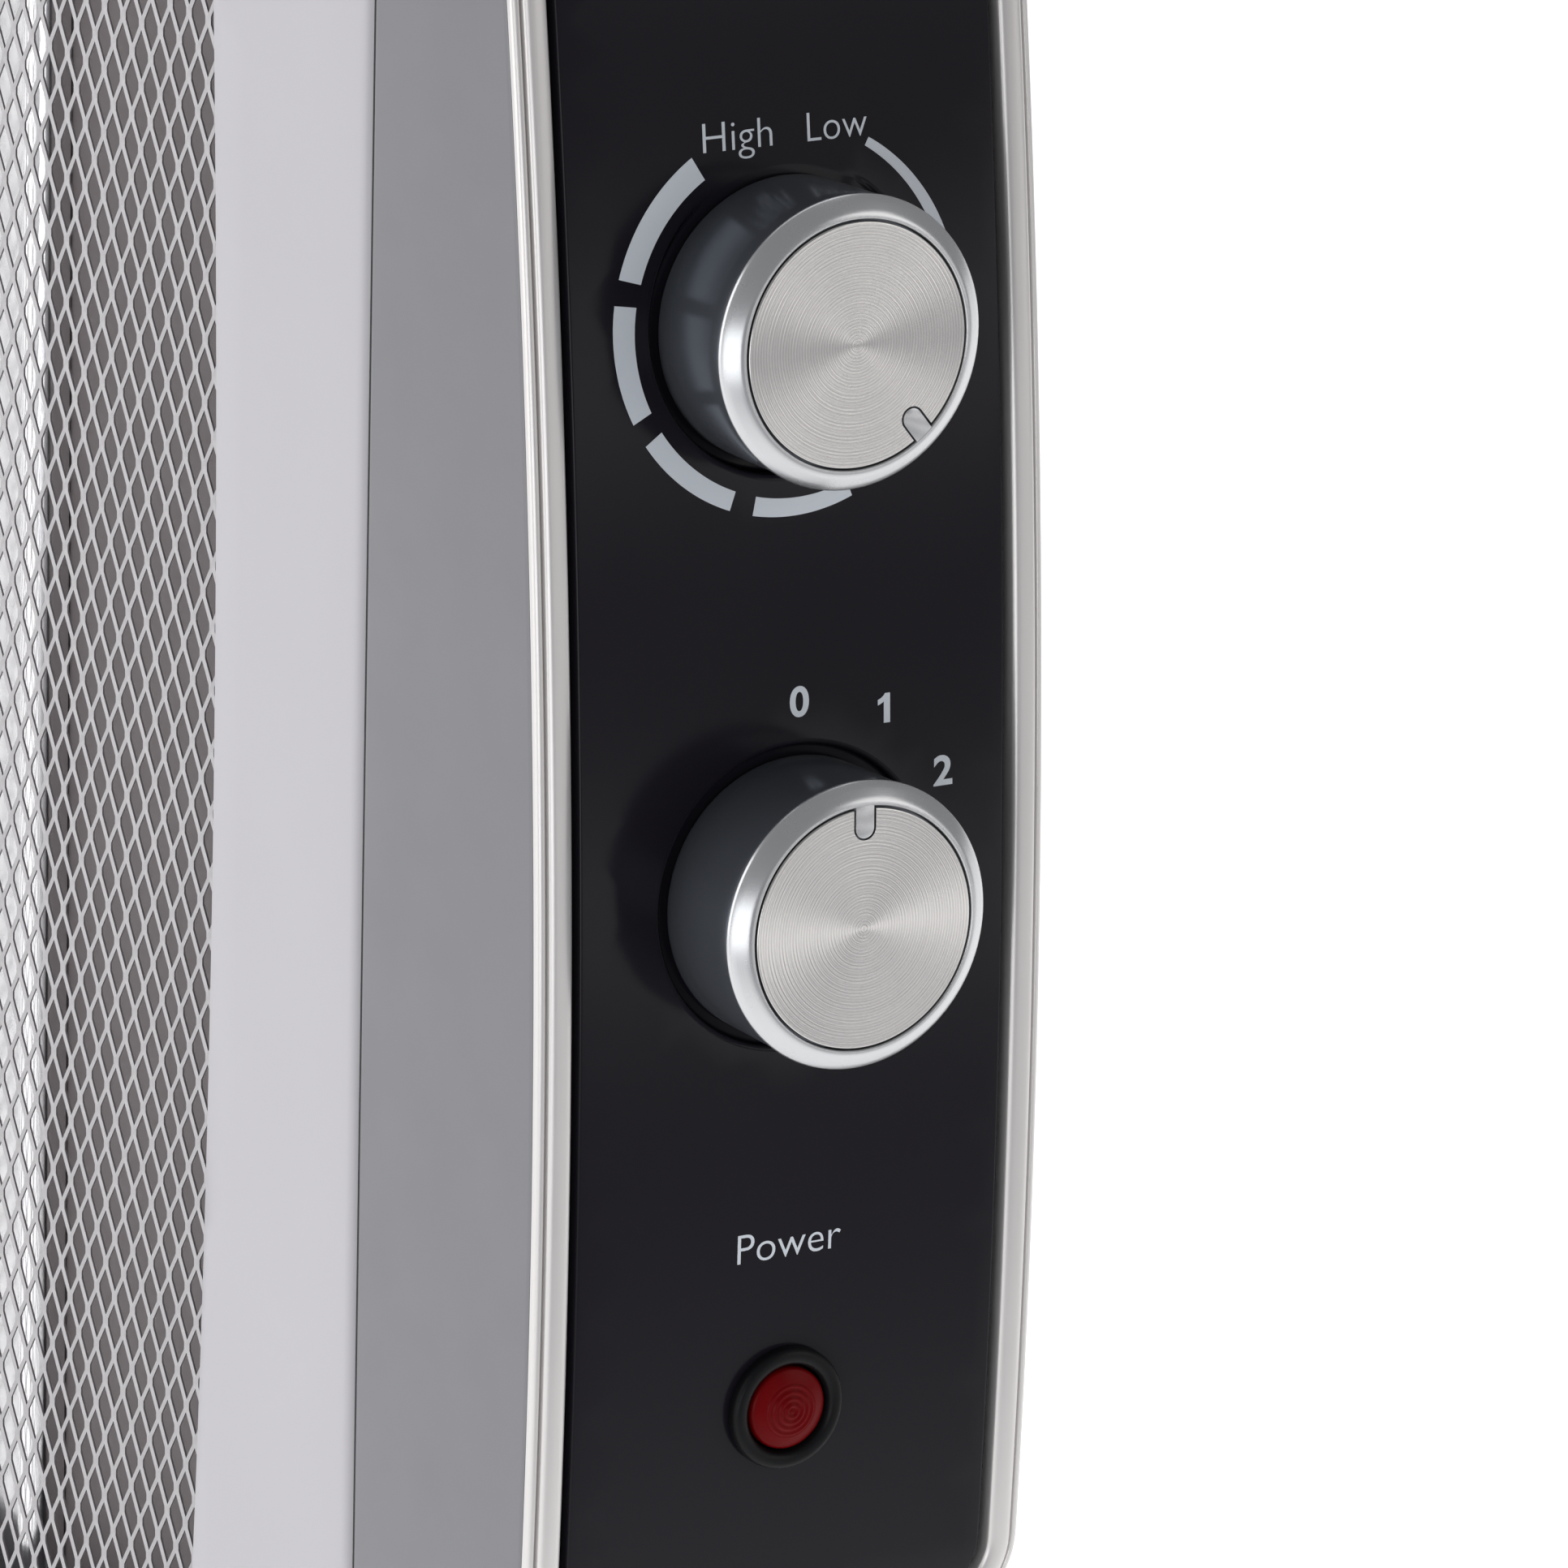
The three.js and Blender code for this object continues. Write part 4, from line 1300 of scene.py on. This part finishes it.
@dataclass
class Grille:
    """Expanded metal behind each window, made of zigzag strands by geometry nodes."""

    pitch: float = 6.1
    repeat: float = 9.78
    bond: float = 1.15
    strand_width: float = 0.66
    strand_depth: float = 0.5
    lean: float = 32.0

    def tree(self) -> bpy.types.NodeTree:
        """The node tree that lays zigzag strands side by side."""
        tree = bpy.data.node_groups.new("expanded_metal", "GeometryNodeTree")
        face = tree.interface
        face.new_socket(name="Geometry", in_out="OUTPUT", socket_type="NodeSocketGeometry")
        for name in ("Strands", "Strand Points"):
            face.new_socket(name=name, in_out="INPUT", socket_type="NodeSocketInt")
        lengths = "Spacing", "Repeat", "Bond", "Swing", "Width", "Depth", "Lean", "Left", "Bottom", "Front"
        for name in lengths:
            face.new_socket(name=name, in_out="INPUT", socket_type="NodeSocketFloat")
        face.new_socket(name="Finish", in_out="INPUT", socket_type="NodeSocketMaterial")
        graph = Graph(tree)
        source = tree.nodes.new("NodeGroupInput")
        given = {socket.name: Term(graph, socket) for socket in source.outputs if socket.name}
        last = given["Strand Points"] - 1.0
        tube = graph.node("GeometryNodeMeshGrid", None, {
            "Size X": last, "Size Y": 4.0, "Vertices X": given["Strand Points"], "Vertices Y": 5,
        })
        place = graph.node("ShaderNodeSeparateXYZ", None, {0: graph.node("GeometryNodeInputPosition")})
        along = (place + last * 0.5 + 0.5).floor()
        around = Term(graph, place.socket.node.outputs["Y"]) + 2.5
        corner = around.floor() % 4.0
        step = along % 4.0
        raised = step.above(1.5)
        height = (along / 4.0).floor() * given["Repeat"] + (step % 2.0) * given["Bond"]
        height = height + raised * given["Repeat"] * 0.5
        ends = along.above(0.5) * (last - along).above(0.5)
        side = (corner.above(0.5) * (1.0 - corner.above(2.5)) * 2.0 - 1.0) * given["Width"] * 0.5 * ends
        back = (corner.above(1.5) * 2.0 - 1.0) * given["Depth"] * 0.5 * ends
        cosine, sine = given["Lean"].cosine(), given["Lean"].sine()
        swing = (raised * 2.0 - 1.0) * given["Swing"]
        x = side * cosine - back * sine + swing
        y = side * sine + back * cosine
        spot = graph.node("ShaderNodeCombineXYZ", None, {"X": x, "Y": y, "Z": height})
        strand = graph.node("GeometryNodeSetPosition", None, {"Geometry": tube, "Position": spot})
        strand = graph.node("GeometryNodeMergeByDistance", None, {"Geometry": strand, "Distance": 1e-6})
        step_right = graph.node("ShaderNodeCombineXYZ", None, {"X": given["Spacing"]})
        start = graph.node("ShaderNodeCombineXYZ", None, {
            "X": given["Left"], "Y": given["Front"], "Z": given["Bottom"],
        })
        row = graph.node("GeometryNodeMeshLine", {"mode": "OFFSET"}, {
            "Count": given["Strands"], "Start Location": start, "Offset": step_right,
        })
        odd = graph.node("GeometryNodeInputIndex") % 2.0
        up = graph.node("ShaderNodeCombineXYZ", None, {"Z": odd * given["Repeat"] * -0.5})
        row = graph.node("GeometryNodeSetPosition", None, {"Geometry": row, "Offset": up})
        laid = graph.node("GeometryNodeInstanceOnPoints", None, {"Points": row, "Instance": strand})
        real = graph.node("GeometryNodeRealizeInstances", None, {"Geometry": laid})
        dressed = graph.node("GeometryNodeSetMaterial", None, {
            "Geometry": real, "Material": given["Finish"],
        })
        graph.node("NodeGroupOutput", None, {0: dressed})
        return tree

    def make(self) -> None:
        """Builds the front and the rear grille."""
        tree = self.tree()
        spacing = self.pitch / 2
        low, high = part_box("front_mesh")
        x0, x1, z0, z1 = (value / MM for value in (low.x, high.x, low.z, high.z))
        strands = int((x1 - x0 - 2.0) / spacing)
        repeats = int((z1 - z0 - self.repeat / 2 - 2.0) / self.repeat)
        left = (x0 + x1) / 2 - (strands - 1) / 2 * spacing
        bottom = (z0 + z1) / 2 - repeats * self.repeat / 2 + self.repeat / 4
        depth = (low.y + high.y) / 2
        for side, front, lean in (("front", depth, self.lean), ("rear", -depth, -self.lean)):
            piece = bpy.data.objects.new(f"grille_{side}", bpy.data.meshes.new(f"grille_{side}"))
            bpy.context.scene.collection.objects.link(piece)
            modifier = piece.modifiers.new("expanded metal", "NODES")
            modifier.node_group = tree
            swing = (spacing - self.strand_width * 0.8) / 2
            values = {
                "Strands": strands, "Strand Points": repeats * 4 + 1, "Spacing": spacing * MM,
                "Repeat": self.repeat * MM, "Bond": self.bond * MM, "Swing": swing * MM,
                "Width": self.strand_width * MM, "Depth": self.strand_depth * MM,
                "Lean": math.radians(lean),
                "Left": left * MM, "Bottom": bottom * MM, "Front": front, "Finish": PAINTS[MESH_STEEL],
            }
            for item in tree.interface.items_tree:
                if item.in_out == "INPUT":
                    modifier[item.identifier] = values[item.name]
            settle(piece)
            tidy_mesh(piece.data, 0.0005, 30.0)
            seat(piece, "heater", "mesh_steel", f"{side}_mesh")


@dataclass
class RadiantPlate:
    """A bright aluminium pan with rolled sides, in front of each mica board."""

    bend: float = 4.0
    sheet: float = 0.8
    trim: float = 4.0
    reach: float = 14.0

    def make(self) -> None:
        """Builds the front and the rear plate."""
        for side in ("front", "rear"):
            low, high = (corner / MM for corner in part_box(f"radiant_plate_{side}"))
            low.x, high.x = low.x + self.trim, high.x - self.trim
            low.z, high.z = low.z - self.reach, high.z + self.reach
            face, lip = (low.y, high.y) if side == "front" else (-high.y, -low.y)
            radius = self.bend
            outer = [(high.x, lip)]
            outer += arc((high.x - radius, face + radius), radius, 0, -QUARTER, 14)
            outer += [(x, face) for x in span(high.x - radius, low.x + radius, 40)[1:-1]]
            outer += arc((low.x + radius, face + radius), radius, -QUARTER, -math.pi, 14)
            outer += [(low.x, lip)]
            work = Patchwork()
            work.grid([[(x, y, z) for x, y in outer] for z in span(low.z, high.z, 12)])
            if side == "rear":
                work = work.mirrored(1, 0.0)
            piece = work.build(f"bright_plate_{side}", ALUMINIUM)
            face_out(piece, -1.0 if side == "front" else 1.0)
            thicken(piece, self.sheet)
            seat(settle(piece), "heater", "aluminium", f"radiant_plate_{side}")


# --------------------------------------------------- mouldings, feet and wheels
def softened(node: str, name: str, finish: Finish, width: float, steps: int) -> bpy.types.Object:
    """A copy of a frame node with merged faces and rounded edges.

    Args:
        node: the frame node to copy.
        name: the new piece's name.
        finish: what it is dressed in.
        width: the rounding, in millimetres.
        steps: faces across the rounding.

    Returns:
        The new piece.
    """
    mesh = frame["nodes"][node].data.copy()
    mesh.name = name
    mesh.materials.clear()
    mesh.materials.append(PAINTS[finish])
    work = bmesh.new()
    work.from_mesh(mesh)
    bmesh.ops.remove_doubles(work, verts=work.verts, dist=0.003 * MM)
    bmesh.ops.dissolve_limit(work, angle_limit=math.radians(1.0), verts=work.verts, edges=work.edges)
    bmesh.ops.recalc_face_normals(work, faces=work.faces)
    work.to_mesh(mesh)
    work.free()
    piece = bpy.data.objects.new(name, mesh)
    bpy.context.scene.collection.objects.link(piece)
    round_edges(piece, width, steps, over=30.0)
    return settle(piece)


@dataclass
class Mouldings:
    """The handle, the slotted air grilles, the feet and the lower element rail."""

    rail_drop: float = 8.0

    def make(self) -> None:
        """Builds softened pieces from their frame nodes."""
        jobs = (
            ("carry_handle", "handle_grip", 3.2, 5, "black_plastic"),
            ("top_grille", "top_air_grille", 0.45, 2, "black_plastic"),
            ("bottom_grille", "bottom_air_grille", 0.45, 2, "black_plastic"),
            ("foot_bar_left", "foot_left", 2.2, 4, "black_plastic"),
            ("foot_bar_right", "foot_right", 2.2, 4, "black_plastic"),
        )
        for node, name, width, steps, slot in jobs:
            seat(softened(node, name, BLACK_PLASTIC, width, steps), "heater", slot, node)
        rail = softened("element_rail_lower", "lower_rail", ZINC_STEEL, 0.3, 2)
        rail.data.transform(Matrix.Translation((0.0, 0.0, -self.rail_drop * MM)))
        seat(rail, "heater", "zinc_steel", "element_rail_lower")


@dataclass
class Caster:
    """A twin-cheek swivel caster: softened fork and a tyre on a moulded hub."""

    end: str
    side: str
    half_width: float = 7.6
    steps: int = 72

    def make(self) -> None:
        """Builds the fork and the wheel."""
        where = f"{self.end}_{self.side}"
        fork = softened(f"caster_fork_{where}", f"fork_{where}", ZINC_STEEL, 0.5, 2)
        seat(fork, f"caster_{where}", "zinc_steel", f"caster_fork_{where}")
        low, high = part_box(f"caster_wheel_{where}")
        centre = (low + high) / 2 / MM
        axle = Axis.across(centre.x, centre.y, centre.z)
        half = self.half_width
        tyre_side = [
            (13.2, half - 1.3), (14.6, half - 0.45), (16.0, half - 0.75), (17.2, half - 1.5),
            (17.8, half - 2.6), (18.0, half - 4.0),
        ]
        tyre = [*tyre_side, (17.9, 0.6), (17.7, 0.25), (17.7, -0.25), (17.9, -0.6)]
        tyre += [(radius, -height) for radius, height in reversed(tyre_side)]
        rolling = axle.turned(tyre, self.steps).build(f"tyre_{where}", RUBBER)
        seat(rolling, f"wheel_{where}", "rubber", f"caster_wheel_{where}")
        hub_side = [
            (2.58, half), (5.2, half), (5.8, half - 0.5), (6.0, half - 2.2), (12.0, half - 2.2),
            (12.6, half - 1.6), (13.2, half - 1.4),
        ]
        hub = hub_side + [(radius, -height) for radius, height in reversed(hub_side)]
        middle = axle.turned(hub, self.steps).build(f"hub_{where}", WHEEL_HUB)
        seat(middle, f"wheel_{where}", "rubber")


def dress_frame_nodes() -> None:
    """Gives the frame nodes that still show their own procedural finishes."""
    finishes = {
        "mica_board": MICA_BOARD, "element_rail": ZINC_STEEL, "shaft": ZINC_STEEL,
        "caster_axle": ZINC_STEEL, "control_bracket": ZINC_STEEL, "_control": CERAMIC,
        "terminal_block": CERAMIC, "thermal_cutout": CERAMIC, "cord_gland": RUBBER,
    }
    for name, node in frame["nodes"].items():
        finish = next((finish for word, finish in finishes.items() if word in name), BLACK_PLASTIC)
        node.data.materials.clear()
        node.data.materials.append(PAINTS[finish])


# --------------------------------------------------------------------- studio
@dataclass
class Studio:
    """The camera, the pale floor and the soft lights."""

    azimuth: float = 58.7
    elevation: float = 17.169
    roll: float = 1.561
    lens: float = 228.658
    place: Point = (1.468527, -0.712808, 0.719771)
    sensor: float = 36.0
    floor_reach: float = 15.0
    floor_level: float = -0.0005
    fade_start: float = 0.4
    fade_end: float = 0.95
    floor_glow: float = 0.85
    sky_strength: float = 0.32

    def camera(self) -> None:
        """Places the camera."""
        turn, rise, roll = (math.radians(value) for value in (self.azimuth, self.elevation, self.roll))
        back = Vector((math.sin(turn) * math.cos(rise), -math.cos(turn) * math.cos(rise), math.sin(rise)))
        level = Vector((math.cos(turn), math.sin(turn), 0.0))
        right = level * math.cos(roll) + back.cross(level) * math.sin(roll)
        up = back.cross(right)
        lens = bpy.data.cameras.new("camera")
        lens.lens = self.lens
        lens.sensor_width = self.sensor
        lens.clip_start, lens.clip_end = 0.05, 60.0
        camera = bpy.data.objects.new("camera", lens)
        facing = Matrix((right, up, back)).transposed().to_4x4()
        camera.matrix_world = Matrix.Translation(self.place) @ facing
        bpy.context.scene.collection.objects.link(camera)
        bpy.context.scene.camera = camera

    def floor(self) -> None:
        """A wide pale floor that glows a little, as a light table does; from fade_start to fade_end along
        +X it and its glow fade to grey, painted shade.
        """
        mesh = bpy.data.meshes.new("floor")
        reach, under = self.floor_reach, self.floor_level
        corners = [(x * reach, y * reach, under) for x, y in ((-1, -1), (1, -1), (1, 1), (-1, 1))]
        mesh.from_pydata(corners, [], [(0, 1, 2, 3)])
        floor = bpy.data.objects.new("floor", mesh)
        bpy.context.scene.collection.objects.link(floor)
        made = bpy.data.materials.new("floor_pale")
        made.use_nodes = True
        made.node_tree.nodes.clear()
        graph = Graph(made.node_tree)
        where = graph.node("ShaderNodeTexCoord", out="Object")
        spot = graph.node("ShaderNodeSeparateXYZ", None, {0: where})
        settings = {"interpolation_type": "SMOOTHSTEP"}
        # Painted shade: the floor's colour and its glow fade to grey along +X.
        ends = {"Value": spot, "From Min": self.fade_start, "From Max": self.fade_end}
        far_shade = graph.node("ShaderNodeMapRange", settings, ends)
        shader = graph.node("ShaderNodeBsdfPrincipled", None, {
            "Base Color": graph.blend(far_shade, (0.9, 0.9, 0.9, 1.0), (0.3, 0.3, 0.31, 1.0)),
            "Roughness": 0.9, "Specular IOR Level": 0.1,
            "Emission Color": graph.blend(far_shade, (1.0, 1.0, 1.0, 1.0), (0.22, 0.22, 0.23, 1.0)),
            "Emission Strength": self.floor_glow,
        })
        graph.node("ShaderNodeOutputMaterial", None, {"Surface": shader})
        mesh.materials.append(made)

    def sky(self) -> None:
        """A plain dome of near-white light."""
        world = bpy.data.worlds.new("studio")
        world.use_nodes = True
        background = world.node_tree.nodes["Background"]
        background.inputs["Color"].default_value = (0.97, 0.98, 1.0, 1.0)
        background.inputs["Strength"].default_value = self.sky_strength
        bpy.context.scene.world = world

    def softbox(
        self, name: str, place: Point, aim: Point, size: Spot, power: float, colour: Colour
    ) -> None:
        """One rectangular soft light."""
        light = bpy.data.lights.new(name, "AREA")
        light.shape = "RECTANGLE"
        light.size, light.size_y = size
        light.energy = power
        light.color = colour
        lamp = bpy.data.objects.new(name, light)
        away = (Vector(place) - Vector(aim)).to_track_quat("Z", "Y")
        lamp.matrix_world = Matrix.Translation(place) @ away.to_matrix().to_4x4()
        bpy.context.scene.collection.objects.link(lamp)

    def make(self) -> None:
        """Sets up the whole studio."""
        self.camera()
        self.floor()
        self.sky()
        body, knobs = (0.2, 0.0, 0.32), (0.3, 0.0, 0.32)
        white, warm, cool, pale = (1.0, 1.0, 1.0), (1.0, 0.985, 0.97), (0.97, 0.985, 1.0), (0.98, 0.99, 1.0)
        boxes = (
            ("left_softbox", (0.1, -2.0, 0.9), body, (1.4, 1.8), 17.0, white),
            ("right_softbox", (1.8, 1.4, 1.2), body, (1.2, 1.4), 7.0, warm),
            ("low_right_strip", (1.12, 0.52, 0.03), knobs, (1.3, 0.1), 0.5, warm),
            ("high_right_strip", (1.12, 0.52, 0.29), knobs, (1.3, 0.1), 0.5, warm),
            ("low_left_strip", (0.98, -0.72, 0.1), knobs, (0.6, 0.7), 3.2, cool),
            ("top_softbox", (-0.4, 0.2, 2.4), body, (2.0, 1.4), 10.0, pale),
        )
        for box in boxes:
            self.softbox(*box)
        bpy.context.scene.view_settings.view_transform = "Standard"
        bpy.context.scene.view_settings.look = "None"


def main() -> None:
    """Builds the heater's looks in order."""
    logging.basicConfig(level=logging.INFO, format="%(name)s: %(message)s")
    Studio().make()
    layout = Layout.from_frame()
    thermostat, power = Axis.of_joint("thermostat_turn"), Axis.of_joint("power_turn")
    low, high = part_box("lamp_bezel")
    lamp_height = (low.z + high.z) / 2 / MM
    dress_frame_nodes()
    EndCap(layout).make()
    EndPanel(layout, (thermostat, power), lamp_height).make()
    DialPrint(layout, thermostat, power).make()
    Knob("thermostat", thermostat, 141.6).make()
    Knob("power", power, 0.0).make()
    PilotLamp(Axis.level(layout.face(lamp_height), 0.0, lamp_height)).make()
    Casing(layout).make()
    Grille().make()
    RadiantPlate().make()
    Mouldings().make()
    for end in ("front", "rear"):
        for side in ("left", "right"):
            Caster(end, side).make()


if __name__ == "__main__":
    main()
